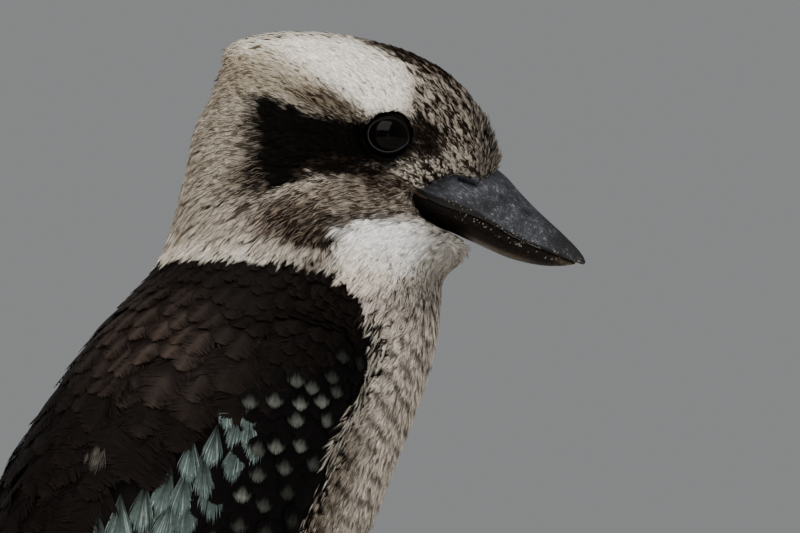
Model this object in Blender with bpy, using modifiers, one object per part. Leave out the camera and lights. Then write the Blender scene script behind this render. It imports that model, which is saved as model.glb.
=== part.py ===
"""Young laughing kookaburra, life size, gripping a short cut perch on a plain display stand.

The bird faces +X with its head in profile to Y, and +Z is up. The origin is the middle of the
stand's underside. The trunk is turned a little to the bird's left under the head. Outlines are
given in millimetres in the bird's own side plane and reach out to the tips of the feathers.
"""

import math

import bmesh
import bpy
import numpy as np
from mathutils import Matrix, Vector

MM = 0.001
GAP = 0.3 * MM            # clearance between neighbouring solids
INFLATE = 0.45 * MM       # how far a cutter stands proud of the piece that it makes room for

BODY_YAW = math.radians(12.0)     # the trunk points this far to the bird's left of the head
YAW_AXIS_X = 31.0                 # mm, the upright line through the neck that the trunk turns about
SHIFT = (-3.3, 5.9, 0.0)          # mm, brings the perch's middle over the origin

EYE_CENTRE = (53.5, 15.6, 311.6)  # mm: forward, sideways, up
EYE_RADIUS = 7.5
EYE_DISH = (8.6, 3.4, 7.8)        # half sizes of the bare hollow that the lids lie in

PERCH_RADIUS = 14.0
PERCH_LENGTH = 156.0
PERCH_X = 2.7                     # mm, the perch's axis in the trunk's side plane
PERCH_Z = 116.5

BASE_RADIUS = 80.0
BASE_THICKNESS = 16.0
BASE_EDGE = 2.5
ROD_RADIUS = 4.0
COLLAR_RADIUS = 9.0
COLLAR_HEIGHT = 6.0

WING_THICKNESS = 8.0              # at the bend of the wing; it thins to a quarter at the tip
WING_BEND = 10.75                 # places along the wing's guide sections
WING_TIP = 0.1
WING_UPPER_EDGE = (62.0, 9.0)     # degrees round the body: at the shoulder, along the back
WING_LOWER_EDGE = (122.0, 100.0)  # degrees: at the shoulder, along the flank
WING_MIDDLE = (90.0, 62.0)        # degrees: at the bend and at the tip, where the edges close in

TAIL_BASE = (-47.0, 152.0)
TAIL_TIP = (-98.8, 28.6)
TAIL_HALF_WIDTH = (10.0, 25.0)    # at the root, near the tip
TAIL_THICKNESS = 4.0
TAIL_FEATHERS = 12

FOOT_SPREAD = 16.0                # mm, from the bird's middle plane to each foot
PAD_HEIGHT = 3.9                  # mm, of the foot's pad over the perch
ANKLE = (-10.0, 27.5)             # mm, back and up from the perch's axis
HIP = (-2.0, 47.0)
THIGH_RADII = (12.0, 11.0, 8.0, 4.6)
TARSUS_RADII = (2.7, 2.7, 2.7, 3.4, 2.6)
TOE_RADIUS = 2.1
CLAW_LENGTH = 9.0
CLAW_RADIUS = 1.57
# name, sideways place of the root, sideways drift to the tip, way round the perch, length
TOES = [
    ("inner", -4.6, -2.5, 1, 19.0),
    ("middle", 0.0, 0.0, 1, 25.0),
    ("outer", 4.6, 1.6, 1, 22.0),
    ("hind", 0.6, -1.0, -1, 15.0),
]

BODY_TRIANGLES = 1950             # of the whole feathered form, before it is parted
VOXEL = 1.8

# Side outlines of the feathered form: (dorsal x, z), (ventral x, z), half width, widest level from
# the ventral side (0..1), squareness of the section (2 is an ellipse).
HEAD_SECTIONS = [
    ((4.3, 327.0), (4.3, 313.0), 11.0, 0.50, 2.0),
    ((6.8, 332.4), (6.8, 299.4), 18.0, 0.50, 2.1),
    ((12.2, 337.2), (12.2, 285.9), 23.5, 0.48, 2.2),
    ((20.2, 339.2), (19.4, 277.3), 27.0, 0.48, 2.3),
    ((29.7, 339.7), (29.2, 273.8), 28.5, 0.48, 2.3),
    ((40.5, 339.1), (41.0, 271.6), 27.0, 0.50, 2.3),
    ((51.8, 336.7), (54.0, 270.8), 23.8, 0.52, 2.2),
    ((61.6, 333.5), (65.3, 272.2), 19.8, 0.52, 2.1),
    ((69.4, 329.1), (71.6, 275.1), 16.4, 0.52, 2.0),
    ((75.6, 323.2), (74.0, 277.8), 13.6, 0.54, 2.0),
    ((79.9, 315.6), (75.1, 280.0), 11.6, 0.56, 2.0),
    ((82.9, 307.5), (75.6, 281.6), 9.9, 0.60, 2.0),
    ((84.5, 301.6), (75.6, 282.7), 8.2, 0.62, 2.0),
]
TRUNK_SECTIONS = [
    ((-71.4, 101.5), (-64.6, 98.4), 7.0, 0.5, 2.2),
    ((-67.0, 116.9), (-54.4, 111.4), 10.5, 0.5, 2.2),
    ((-64.3, 134.7), (-45.9, 127.0), 13.5, 0.5, 2.2),
    ((-62.6, 145.0), (-39.2, 132.0), 17.5, 0.5, 2.2),
    ((-62.6, 159.0), (-18.9, 138.8), 25.0, 0.5, 2.2),
    ((-61.6, 175.2), (1.4, 148.2), 33.0, 0.5, 2.2),
    ((-58.9, 194.1), (20.2, 161.7), 39.0, 0.5, 2.2),
    ((-53.5, 213.0), (36.5, 180.6), 42.5, 0.5, 2.2),
    ((-44.6, 231.4), (47.2, 202.2), 44.5, 0.5, 2.2),
    ((-34.6, 247.6), (56.2, 225.2), 45.0, 0.5, 2.2),
    ((-23.0, 262.2), (62.6, 241.4), 43.5, 0.5, 2.2),
    ((-12.2, 273.2), (66.7, 254.9), 40.0, 0.5, 2.1),
    ((-6.5, 281.9), (68.0, 264.3), 36.0, 0.5, 2.1),
    ((-4.3, 292.7), (67.8, 271.1), 32.5, 0.5, 2.0),
    ((-2.2, 303.5), (63.5, 277.3), 30.0, 0.5, 2.0),
    ((0.5, 314.3), (51.3, 294.0), 26.0, 0.5, 2.0),
    ((3.4, 323.0), (40.5, 308.5), 16.0, 0.5, 2.0),
]
# The wing tips follow the trunk's surface carried on over the root of the tail.
TAIL_GUIDE = [
    ((-82.4, 87.0), (-76.5, 84.6), 18.0, 0.15, 2.2),
    ((-73.6, 112.2), (-66.4, 109.4), 19.0, 0.2, 2.2),
    ((-67.6, 131.2), (-56.0, 126.0), 19.0, 0.3, 2.2),
]

# Bill in side view: (ridge x, z), (edge x, z), half width, from inside the face to the tip. The
# ridge is the outer profile and the edge is the line where the two halves meet.
UPPER_BILL = [
    ((63.5, 307.0), (58.9, 298.4), 15.0),
    ((71.6, 307.0), (64.8, 294.3), 14.0),
    ((78.8, 305.0), (71.6, 291.6), 12.3),
    ((84.8, 300.5), (77.8, 289.4), 10.4),
    ((89.1, 295.9), (82.9, 286.7), 8.6),
    ((92.9, 292.0), (87.8, 284.0), 7.1),
    ((96.8, 288.4), (92.3, 281.9), 5.7),
    ((100.6, 284.9), (97.2, 280.0), 4.2),
    ((104.0, 281.6), (101.8, 278.2), 2.8),
    ((106.1, 279.0), (105.0, 277.0), 1.5),
    ((106.9, 277.3), (106.3, 276.6), 0.6),
]
LOWER_BILL = [
    ((56.7, 290.8), (58.9, 298.4), 14.4),
    ((62.1, 287.6), (64.8, 294.3), 13.4),
    ((69.4, 285.7), (71.6, 291.6), 11.7),
    ((75.1, 283.2), (77.8, 289.4), 9.8),
    ((80.5, 280.7), (82.9, 286.7), 8.0),
    ((85.9, 278.4), (87.8, 284.0), 6.5),
    ((91.0, 276.9), (92.3, 281.9), 5.1),
    ((96.1, 275.9), (97.2, 280.0), 3.6),
    ((101.0, 275.8), (101.8, 278.2), 2.2),
    ((104.0, 276.4), (104.2, 277.3), 0.9),
]
# Side outline of the part of the bill that stands clear of the face feathers, and beyond it.
BARE_BILL = [
    (58.9, 298.4), (61.4, 297.0), (63.7, 296.9), (65.9, 298.2), (67.8, 299.7), (70.2, 300.6),
    (72.9, 300.5), (77.0, 299.2), (79.4, 298.9), (82.9, 300.8), (85.0, 301.6), (112.0, 306.0),
    (112.0, 270.0), (81.5, 280.5), (76.4, 282.4), (70.2, 285.3), (64.5, 287.9), (61.8, 290.6),
    (60.6, 293.6),
]


def clear_scene():
    for obj in list(bpy.data.objects):
        bpy.data.objects.remove(obj, do_unlink=True)


def new_collection(name):
    collection = bpy.data.collections.new(name)
    bpy.context.scene.collection.children.link(collection)
    return collection


def material(name, colour, roughness, metallic=0.0):
    """A Principled material; colour is linear RGB."""
    made = bpy.data.materials.new(name)
    made.use_nodes = True
    shader = made.node_tree.nodes["Principled BSDF"]
    shader.inputs["Base Color"].default_value = (*colour, 1.0)
    shader.inputs["Roughness"].default_value = roughness
    shader.inputs["Metallic"].default_value = metallic
    return made


def add_object(name, mesh, collection, finish=None):
    obj = bpy.data.objects.new(name, mesh)
    collection.objects.link(obj)
    if finish is not None:
        mesh.materials.append(finish)
    return obj


def add_helper(name, mesh):
    """A cutter or guide, which isn't part of the model."""
    obj = add_object(name, mesh, CUTTERS)
    obj.hide_render = True
    obj.display_type = "WIRE"
    return obj


def mesh_from_bmesh(name, bm, smooth_angle=40.0):
    mesh = bpy.data.meshes.new(name)
    bm.to_mesh(mesh)
    bm.free()
    mesh.shade_smooth()
    mesh.set_sharp_from_angle(angle=math.radians(smooth_angle))
    return mesh


def evaluated_mesh(obj):
    """The object's mesh with its modifiers applied, in world space."""
    bpy.context.view_layer.update()
    graph = bpy.context.evaluated_depsgraph_get()
    mesh = bpy.data.meshes.new_from_object(obj.evaluated_get(graph))
    mesh.transform(obj.matrix_world)
    return mesh


def blend(first, second, share):
    return first + (second - first) * share


def catmull(a, b, c, d, t):
    """A value between b and c on a smooth curve through a, b, c and d."""
    return b + 0.5 * t * (c - a + t * (2 * a - 5 * b + 4 * c - d + t * (3 * (b - c) + d - a)))


def flat_row(section):
    """A section's nested numbers as one row."""
    row = []
    for value in section:
        row.extend(value if isinstance(value, tuple) else (value,))
    return row


def row_at(rows, place):
    """The row at a fractional place along the list, on a smooth curve through the rows."""
    last = len(rows) - 1
    k = min(int(place), last - 1)
    near = [rows[min(max(i, 0), last)] for i in range(k - 1, k + 3)]
    return [catmull(*values, place - k) for values in zip(*near)]


def body_point(row, angle):
    """A point on a body section; angle 0 is the back, 90 degrees the left side, 180 the belly."""
    dorsal_x, dorsal_z, ventral_x, ventral_z, half_width, widest, squareness = row
    up = math.copysign(abs(math.cos(angle)) ** (2 / squareness), math.cos(angle))
    side = math.copysign(abs(math.sin(angle)) ** (2 / squareness), math.sin(angle))
    level = widest + up * (1 - widest if up > 0 else widest)
    return Vector((
        ventral_x + (dorsal_x - ventral_x) * level,
        half_width * side,
        ventral_z + (dorsal_z - ventral_z) * level,
    )) * MM


def bridge_rings(bm, rings):
    """Joins closed rings of vertices with quads and caps both ends."""
    for first, second in zip(rings, rings[1:]):
        count = len(first)
        for i in range(count):
            j = (i + 1) % count
            bm.faces.new((first[i], first[j], second[j], second[i]))
    bm.faces.new(reversed(rings[0]))
    bm.faces.new(rings[-1])
    bmesh.ops.recalc_face_normals(bm, faces=bm.faces)


def body_loft(name, sections, around=36, between=3):
    """A closed form through the sections, with extra smooth sections between them."""
    rows = [flat_row(section) for section in sections]
    bm = bmesh.new()
    rings = []
    for step in range((len(rows) - 1) * between + 1):
        row = row_at(rows, step / between)
        ring = [body_point(row, math.tau * i / around) for i in range(around)]
        rings.append([bm.verts.new(point) for point in ring])
    bridge_rings(bm, rings)
    return mesh_from_bmesh(name, bm)


def bill_loft(name, sections, lift, around=9):
    """Half of the bill: its profile edge is a rounded ridge and its cutting face is flat."""
    rows = [flat_row(section) for section in sections]
    bm = bmesh.new()
    rings = []
    for ridge_x, ridge_z, edge_x, edge_z, half_width in rows:
        ridge = Vector((ridge_x, 0, ridge_z))
        edge = Vector((edge_x, 0, edge_z))
        edge += (ridge - edge).normalized() * lift
        ring = []
        for i in range(around + 1):
            angle = math.pi * i / around - math.pi / 2
            height = math.cos(angle) ** 1.15
            side = math.copysign(abs(math.sin(angle)) ** 0.95, math.sin(angle))
            point = edge + (ridge - edge) * height + Vector((0, half_width * side, 0))
            ring.append(bm.verts.new(point * MM))
        rings.append(ring)
    bridge_rings(bm, rings)
    return mesh_from_bmesh(name, bm, 50.0)


def inflated(source, amount=INFLATE):
    """A cutter a little larger than a piece, so that what it cuts stays clear of the piece."""
    helper = add_helper(source.name + "_room", evaluated_mesh(source))
    push = helper.modifiers.new("Inflate", "DISPLACE")
    push.strength = amount
    push.mid_level = 0.0
    return helper


def cut(obj, cutter):
    boolean = obj.modifiers.new("Cut " + cutter.name, "BOOLEAN")
    boolean.operation = "DIFFERENCE"
    boolean.solver = "EXACT"
    boolean.object = cutter


def side_prism(name, outline, half_width):
    """A cutter with the outline in side view that passes right through the head."""
    bm = bmesh.new()
    near = [bm.verts.new(Vector((x, -half_width, z)) * MM) for x, z in outline]
    far = [bm.verts.new(Vector((x, half_width, z)) * MM) for x, z in outline]
    bridge_rings(bm, [near, far])
    return add_helper(name, mesh_from_bmesh(name, bm))


def between_planes(source, name, planes):
    """The part of a closed mesh on the positive side of each plane, closed again."""
    bm = bmesh.new()
    bm.from_mesh(source)
    for point, normal in planes:
        everything = bm.verts[:] + bm.edges[:] + bm.faces[:]
        bmesh.ops.bisect_plane(bm, geom=everything, plane_co=point, plane_no=normal,
                               clear_inner=True, dist=1e-7)
        rim = [edge for edge in bm.edges if edge.is_boundary]
        bmesh.ops.holes_fill(bm, edges=rim, sides=0)
    bmesh.ops.triangulate(bm, faces=[face for face in bm.faces if len(face.verts) > 4])
    bmesh.ops.recalc_face_normals(bm, faces=bm.faces)
    return mesh_from_bmesh(name, bm)


def add_axis(name, yaw):
    """An empty that sets pieces in place and turns them about the upright line of the neck."""
    pivot = Vector((YAW_AXIS_X * MM, 0, 0))
    empty = bpy.data.objects.new(name, None)
    empty.matrix_world = (
        Matrix.Translation(Vector(SHIFT) * MM + pivot)
        @ Matrix.Rotation(yaw, 4, "Z")
        @ Matrix.Translation(-pivot)
    )
    BIRD.objects.link(empty)
    return empty


def hang_on(obj, parent):
    obj.parent = parent
    return obj


def feathered_form():
    """Head, neck and trunk as one closed form, blended where the head's loft meets the neck's."""
    bm = bmesh.new()
    for sections, axis in ((HEAD_SECTIONS, HEAD_AXIS), (TRUNK_SECTIONS, TRUNK_AXIS)):
        loft = body_loft("loft", sections)
        loft.transform(axis.matrix_world)
        bm.from_mesh(loft)
    form = add_helper("feathered_form", mesh_from_bmesh("feathered_form", bm))
    remesh = form.modifiers.new("Join lofts", "REMESH")
    remesh.mode = "VOXEL"
    remesh.voxel_size = VOXEL * MM
    soften = form.modifiers.new("Soften", "SMOOTH")
    soften.factor = 0.5
    soften.iterations = 8
    fine = evaluated_mesh(form)
    thin = form.modifiers.new("Facet", "DECIMATE")
    thin.ratio = BODY_TRIANGLES / (2 * len(fine.polygons))
    bpy.data.meshes.remove(fine)
    return form


def part_planes():
    """Cut planes (point, normal towards the tail) between head and neck, and neck and trunk."""
    across = Vector((0, 1, 0))
    shift = Vector(SHIFT)
    nape, throat = Vector((-4.0, 0, 296.5)) + shift, Vector((70.5, 0, 271.8)) + shift
    back, breast = Vector((-8.5, 0, 277.6)) + shift, Vector((68.3, 0, 262.3)) + shift
    head_down = across.cross(throat - nape).normalized()
    neck_down = across.cross(breast - back).normalized()
    if head_down.z > 0:
        head_down.negate()
    if neck_down.z > 0:
        neck_down.negate()
    return (nape * MM, head_down), (back * MM, neck_down)


def wing_surface(side):
    """One folded wing: a shell over the trunk's side, thick at the bend and thin at the tip."""
    rows = [flat_row(section) for section in TAIL_GUIDE + TRUNK_SECTIONS[3:]]
    lengthwise, across = 17, 7
    bm = bmesh.new()
    layer = bm.verts.layers.deform.verify()
    grid = []
    for i in range(lengthwise + 1):
        u = i / lengthwise
        row = row_at(rows, blend(WING_BEND, WING_TIP, u))
        # The upper edge climbs from the shoulder to the middle of the back; the lower edge
        # runs from the bend of the wing along the flank, and both close in at the ends.
        bend_opening = math.sin(math.pi / 2 * min(1.0, 0.12 + u / 0.16)) ** 0.6
        tip_opening = math.sin(math.pi / 2 * min(1.0, 0.04 + (1 - u) / 0.22)) ** 0.7
        middle = blend(*WING_MIDDLE, u)
        spread = bend_opening * tip_opening
        upper = blend(middle, blend(*WING_UPPER_EDGE, min(1.0, u / 0.34) ** 0.7), spread)
        lower = blend(middle, blend(*WING_LOWER_EDGE, min(1.0, u / 0.7)), spread)
        line = []
        for j in range(across + 1):
            v = j / across
            angle = math.radians(blend(upper, lower, v))
            vert = bm.verts.new(body_point(row, angle * side))
            rim = min(1.0, 3.2 * min(v, 1 - v) + 0.34)
            vert[layer][0] = rim * blend(1.0, 0.26, u ** 0.8) * blend(0.45, 1.0, bend_opening)
            line.append(vert)
        grid.append(line)
    for first, second in zip(grid, grid[1:]):
        for j in range(across):
            corners = (first[j], first[j + 1], second[j + 1], second[j])
            bm.faces.new(corners if side > 0 else tuple(reversed(corners)))
    return mesh_from_bmesh("wing_surface", bm)


def add_wing(side, name, axis, finish):
    wing = add_object(name, wing_surface(side), BIRD, finish)
    wing.vertex_groups.new(name="thickness")
    shell = wing.modifiers.new("Thickness", "SOLIDIFY")
    shell.thickness = WING_THICKNESS * MM
    shell.offset = 0.15
    shell.vertex_group = "thickness"
    shell.thickness_vertex_group = 0.02
    return hang_on(wing, axis)


def tail_surface():
    """The closed tail: a slightly arched plate whose end is scalloped by its feather tips."""
    root = Vector((TAIL_BASE[0], 0, TAIL_BASE[1]))
    tip = Vector((TAIL_TIP[0], 0, TAIL_TIP[1]))
    along = tip - root
    out = Vector((along.z, 0, -along.x)).normalized()
    lengthwise, across = 5, TAIL_FEATHERS * 2
    bm = bmesh.new()
    layer = bm.verts.layers.deform.verify()
    grid = []
    for i in range(lengthwise + 1):
        u = i / lengthwise
        half_width = blend(*TAIL_HALF_WIDTH, min(1.0, 1.3 * u))
        line = []
        for j in range(across + 1):
            v = 2 * j / across - 1
            scallop = 0.012 * abs(math.sin(math.pi * TAIL_FEATHERS / 2 * v))
            reach = u * (1 - 0.09 * v * v - 0.05 * v ** 8 - 0.012 + scallop * u)
            arch = -4.5 * (1 - u * 0.3) * v * v
            point = root + along * reach + out * arch + Vector((0, half_width * v, 0))
            vert = bm.verts.new(point * MM)
            vert[layer][0] = (1.0 - 0.5 * u) * (1.0 - 0.45 * abs(v) ** 3)
            line.append(vert)
        grid.append(line)
    for first, second in zip(grid, grid[1:]):
        for j in range(across):
            bm.faces.new((first[j], second[j], second[j + 1], first[j + 1]))
    return mesh_from_bmesh("tail_surface", bm)


def add_tail(axis, finish):
    tail = add_object("tail", tail_surface(), BIRD, finish)
    tail.vertex_groups.new(name="thickness")
    shell = tail.modifiers.new("Thickness", "SOLIDIFY")
    shell.thickness = TAIL_THICKNESS * MM
    shell.offset = 0.0
    shell.vertex_group = "thickness"
    return hang_on(tail, axis)


def ball(name, centre, radii, collection, finish=None, segments=14, rings=8):
    """A sphere or ellipsoid whose poles lie sideways; centre and radii in millimetres."""
    bm = bmesh.new()
    bmesh.ops.create_uvsphere(bm, u_segments=segments, v_segments=rings, radius=1.0)
    bmesh.ops.rotate(bm, verts=bm.verts, matrix=Matrix.Rotation(math.pi / 2, 3, "X"))
    bmesh.ops.scale(bm, verts=bm.verts, vec=Vector(radii) * MM)
    obj = add_object(name, mesh_from_bmesh(name, bm, 80.0), collection, finish)
    obj.location = Vector(centre) * MM
    return obj


def tapered_curve(name, points, radii, resolution=2):
    """A round bar through the points (millimetres), as a closed mesh."""
    curve = bpy.data.curves.new(name, "CURVE")
    curve.dimensions = "3D"
    curve.bevel_depth = 1.0
    curve.bevel_resolution = resolution
    curve.use_fill_caps = True
    spline = curve.splines.new("POLY")
    spline.points.add(len(points) - 1)
    for slot, point, radius in zip(spline.points, points, radii):
        slot.co = (*(Vector(point) * MM), 1.0)
        slot.radius = radius * MM
    guide = bpy.data.objects.new(name + "_curve", curve)
    CUTTERS.objects.link(guide)
    mesh = evaluated_mesh(guide)
    bpy.data.objects.remove(guide, do_unlink=True)
    bm = bmesh.new()
    bm.from_mesh(mesh)
    bmesh.ops.remove_doubles(bm, verts=bm.verts, dist=1e-6)
    bmesh.ops.recalc_face_normals(bm, faces=bm.faces)
    return mesh_from_bmesh(name, bm)


def add_leg(side, label, axis, form, finishes):
    """The feathered thigh, the bare tarsus with its foot pad, four toes and their claws."""
    y = FOOT_SPREAD * side
    pad = Vector((PERCH_X, y, PERCH_Z + PERCH_RADIUS + PAD_HEIGHT))
    ankle = Vector((PERCH_X + ANKLE[0], y, PERCH_Z + ANKLE[1]))
    hip = Vector((PERCH_X + HIP[0], y, PERCH_Z + HIP[1]))
    thigh_points = [hip, hip.lerp(ankle, 0.5), hip.lerp(ankle, 0.85), ankle]
    thigh = add_object(
        "thigh_" + label, tapered_curve("thigh", thigh_points, THIGH_RADII, 4),
        BIRD, finishes["feather_pale"],
    )
    hang_on(thigh, axis)
    thigh_room = inflated(thigh)
    cut(thigh, form)
    shin = (pad - ankle).normalized()
    buried = ankle + (hip - ankle).normalized() * 2.5
    tarsus_points = [buried, ankle + shin * 1.5, pad - shin * 4.5, pad - shin, pad + shin]
    tarsus = add_object(
        "tarsus_" + label, tapered_curve("tarsus", tarsus_points, TARSUS_RADII, 3),
        BIRD, finishes["leg"],
    )
    hang_on(tarsus, axis)
    cut(tarsus, thigh_room)
    tarsus_room = inflated(tarsus)
    for toe in TOES:
        add_toe(side, label, axis, tarsus_room, finishes, *toe)


def perch_point(y, angle, radius):
    """A point about the perch's own axis; angle 0 is the top, positive is forward and down."""
    return Vector((
        PERCH_X + radius * math.sin(angle), y, PERCH_Z + radius * math.cos(angle),
    ))


def add_toe(side, label, axis, room, finishes, name, offset, drift, way, length):
    """One toe bent round the perch, and the curved claw beyond its end."""
    ride = PERCH_RADIUS + TOE_RADIUS + 0.55
    start = math.radians(7.0) * way
    sweep = length / ride
    steps = 6
    points, radii = [], []
    for i in range(steps + 1):
        share = i / steps
        y = (FOOT_SPREAD + offset + drift * share) * side
        knuckle = 1 + 0.08 * math.cos(share * math.tau * 3)
        points.append(perch_point(y, start + way * sweep * share, ride))
        radii.append(TOE_RADIUS * blend(1.0, 0.78, share) * knuckle)
    toe = add_object(
        f"toe_{label}_{name}", tapered_curve("toe", points, radii, 2), BIRD, finishes["leg"],
    )
    hang_on(toe, axis)
    cut(toe, room)
    claw_start = start + way * (length + 0.8) / ride
    claw_steps = 5
    points, radii = [], []
    for i in range(claw_steps + 1):
        share = i / claw_steps
        rise = 1.5 * math.sin(math.pi * min(1.0, share * 1.1)) - 0.55 * share
        y = (FOOT_SPREAD + offset + drift) * side
        angle = claw_start + way * CLAW_LENGTH / ride * share
        points.append(perch_point(y, angle, ride + rise))
        radii.append(CLAW_RADIUS * blend(1.0, 0.14, share ** 1.2))
    claw = add_object(
        f"claw_{label}_{name}", tapered_curve("claw", points, radii, 1), BIRD, finishes["claw"],
    )
    hang_on(claw, axis)


def add_perch(axis, finish):
    """A cut length of branch, plain where the toes grip it and a little knobbly at its ends."""
    steps = 10
    points, radii = [], []
    for i in range(steps + 1):
        share = 2 * i / steps - 1
        rough = max(0.0, abs(share) - 0.55) / 0.45
        points.append((PERCH_X + 2.0 * rough * share, PERCH_LENGTH / 2 * share,
                       PERCH_Z - 2.2 * rough ** 2))
        radii.append(PERCH_RADIUS * (1 - 0.02 * math.cos(i * 2.4) * rough + 0.05 * rough * share))
    perch = add_object("perch_branch", tapered_curve("perch", points, radii, 5), BIRD, finish)
    return hang_on(perch, axis)


def add_stand(finishes):
    """A turned wooden base, a steel rod and the collar that holds it."""
    bpy.ops.mesh.primitive_cylinder_add(
        vertices=48, radius=BASE_RADIUS * MM, depth=BASE_THICKNESS * MM,
        location=(0, 0, BASE_THICKNESS / 2 * MM),
    )
    base = bpy.context.object
    base.name = "stand_base"
    base.data.materials.append(finishes["base"])
    bevel = base.modifiers.new("Edge", "BEVEL")
    bevel.width = BASE_EDGE * MM
    bevel.segments = 2
    rod_foot = TRUNK_AXIS.matrix_world @ (Vector((PERCH_X, 0, 0)) * MM)
    rod_top = (PERCH_Z - PERCH_RADIUS) * MM - GAP
    bottom = BASE_THICKNESS * MM + GAP
    bpy.ops.mesh.primitive_cylinder_add(
        vertices=16, radius=ROD_RADIUS * MM, depth=rod_top - bottom,
        location=(rod_foot.x, rod_foot.y, (rod_top + bottom) / 2),
    )
    rod = bpy.context.object
    rod.name = "stand_rod"
    rod.data.materials.append(finishes["steel"])
    for obj in (base, rod):
        for owner in list(obj.users_collection):
            owner.objects.unlink(obj)
        BIRD.objects.link(obj)
        obj.data.shade_smooth()
        obj.data.set_sharp_from_angle(angle=math.radians(40))
    add_collar((rod_foot.x, rod_foot.y, bottom), finishes["steel"])


def add_collar(place, finish):
    """A turned ring round the rod's foot: a flat bottom, a low wall and a sloping shoulder."""
    bore = ROD_RADIUS + GAP / MM
    profile = [
        (bore, COLLAR_HEIGHT),
        (bore, 0.0),
        (COLLAR_RADIUS, 0.0),
        (COLLAR_RADIUS, 1.6),
        (COLLAR_RADIUS - 0.6, 2.2),
        (COLLAR_RADIUS - 1.6, COLLAR_HEIGHT - 1.6),
        (COLLAR_RADIUS - 3.2, COLLAR_HEIGHT),
        (bore, COLLAR_HEIGHT),
    ]
    bm = bmesh.new()
    ring = [bm.verts.new((x * MM, 0, z * MM)) for x, z in profile]
    for first, second in zip(ring, ring[1:]):
        bm.edges.new((first, second))
    collar = add_object("stand_collar", mesh_from_bmesh("collar", bm), BIRD, finish)
    collar.location = place
    screw = collar.modifiers.new("Turn", "SCREW")
    screw.steps = screw.render_steps = 16
    screw.use_merge_vertices = True
    screw.merge_threshold = 1e-5
    screw.use_normal_calculate = True
    weld = collar.modifiers.new("Weld", "WELD")
    weld.merge_threshold = 1e-5


clear_scene()
BIRD = new_collection("laughing_kookaburra")
CUTTERS = new_collection("cutters")

FINISHES = {
    "feather_pale": material("feather_pale", (0.46, 0.41, 0.34), 0.85),
    "feather_head": material("feather_head", (0.50, 0.46, 0.38), 0.85),
    "feather_dark": material("feather_dark", (0.030, 0.021, 0.018), 0.75),
    "bill_upper": material("bill_upper", (0.035, 0.037, 0.045), 0.45),
    "bill_lower": material("bill_lower", (0.030, 0.018, 0.014), 0.45),
    "eye": material("eye", (0.010, 0.006, 0.005), 0.05),
    "leg": material("leg", (0.19, 0.17, 0.13), 0.6),
    "claw": material("claw", (0.020, 0.016, 0.014), 0.35),
    "bark": material("bark", (0.22, 0.18, 0.14), 0.9),
    "base": material("base", (0.10, 0.055, 0.030), 0.4),
    "steel": material("steel", (0.35, 0.35, 0.36), 0.35, 1.0),
}

HEAD_AXIS = add_axis("head_axis", 0.0)
TRUNK_AXIS = add_axis("trunk_axis", BODY_YAW)
FORM = feathered_form()
FORM_MESH = evaluated_mesh(FORM)
FORM_ROOM = inflated(FORM)

WINGS = [
    add_wing(1, "wing_left", TRUNK_AXIS, FINISHES["feather_dark"]),
    add_wing(-1, "wing_right", TRUNK_AXIS, FINISHES["feather_dark"]),
]
WING_ROOMS = [inflated(wing) for wing in WINGS]

HEAD_CUT, NECK_CUT = part_planes()


def slab(plane, way):
    """The plane moved half a gap to one side, facing that side."""
    point, normal = plane
    return point + normal * (way * GAP / 2), normal * way


HEAD = add_object("head", between_planes(FORM_MESH, "head", [slab(HEAD_CUT, -1)]), BIRD,
                  FINISHES["feather_head"])
NECK = add_object("neck", between_planes(FORM_MESH, "neck", [slab(HEAD_CUT, 1), slab(NECK_CUT, -1)]),
                  BIRD, FINISHES["feather_pale"])
TRUNK = add_object("trunk", between_planes(FORM_MESH, "trunk", [slab(NECK_CUT, 1)]), BIRD,
                   FINISHES["feather_pale"])
for room in WING_ROOMS:
    cut(TRUNK, room)

BILL_UPPER = add_object("bill_upper", bill_loft("bill_upper", UPPER_BILL, GAP / 2 / MM), BIRD,
                        FINISHES["bill_upper"])
BILL_LOWER = add_object("bill_lower", bill_loft("bill_lower", LOWER_BILL, GAP / 2 / MM), BIRD,
                        FINISHES["bill_lower"])
for bill in (BILL_UPPER, BILL_LOWER):
    hang_on(bill, HEAD_AXIS)
    cut(HEAD, inflated(bill, 0.75 * MM))
cut(HEAD, hang_on(side_prism("face_opening", BARE_BILL, 30.0), HEAD_AXIS))

for SIDE, LABEL in ((1, "left"), (-1, "right")):
    CENTRE = (EYE_CENTRE[0], EYE_CENTRE[1] * SIDE, EYE_CENTRE[2])
    EYE = ball("eye_" + LABEL, CENTRE, (EYE_RADIUS,) * 3, BIRD, FINISHES["eye"])
    hang_on(EYE, HEAD_AXIS)
    cut(HEAD, inflated(EYE))
    DISH_PLACE = (EYE_CENTRE[0], (EYE_CENTRE[1] + EYE_RADIUS + 0.6) * SIDE, EYE_CENTRE[2])
    DISH = ball("eye_dish_" + LABEL, DISH_PLACE, EYE_DISH, CUTTERS)
    DISH.hide_render = True
    DISH.display_type = "WIRE"
    hang_on(DISH, HEAD_AXIS)
    cut(HEAD, DISH)
    add_leg(SIDE, LABEL, TRUNK_AXIS, FORM_ROOM, FINISHES)

TAIL = add_tail(TRUNK_AXIS, FINISHES["feather_dark"])
for room in (FORM_ROOM, *WING_ROOMS):
    cut(TAIL, room)

add_perch(TRUNK_AXIS, FINISHES["bark"])
add_stand(FINISHES)
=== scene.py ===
import math
from functools import partial

import bmesh
import bpy
import numpy as np
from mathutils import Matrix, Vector
from mathutils.bvhtree import BVHTree
from mathutils.kdtree import KDTree


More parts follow.
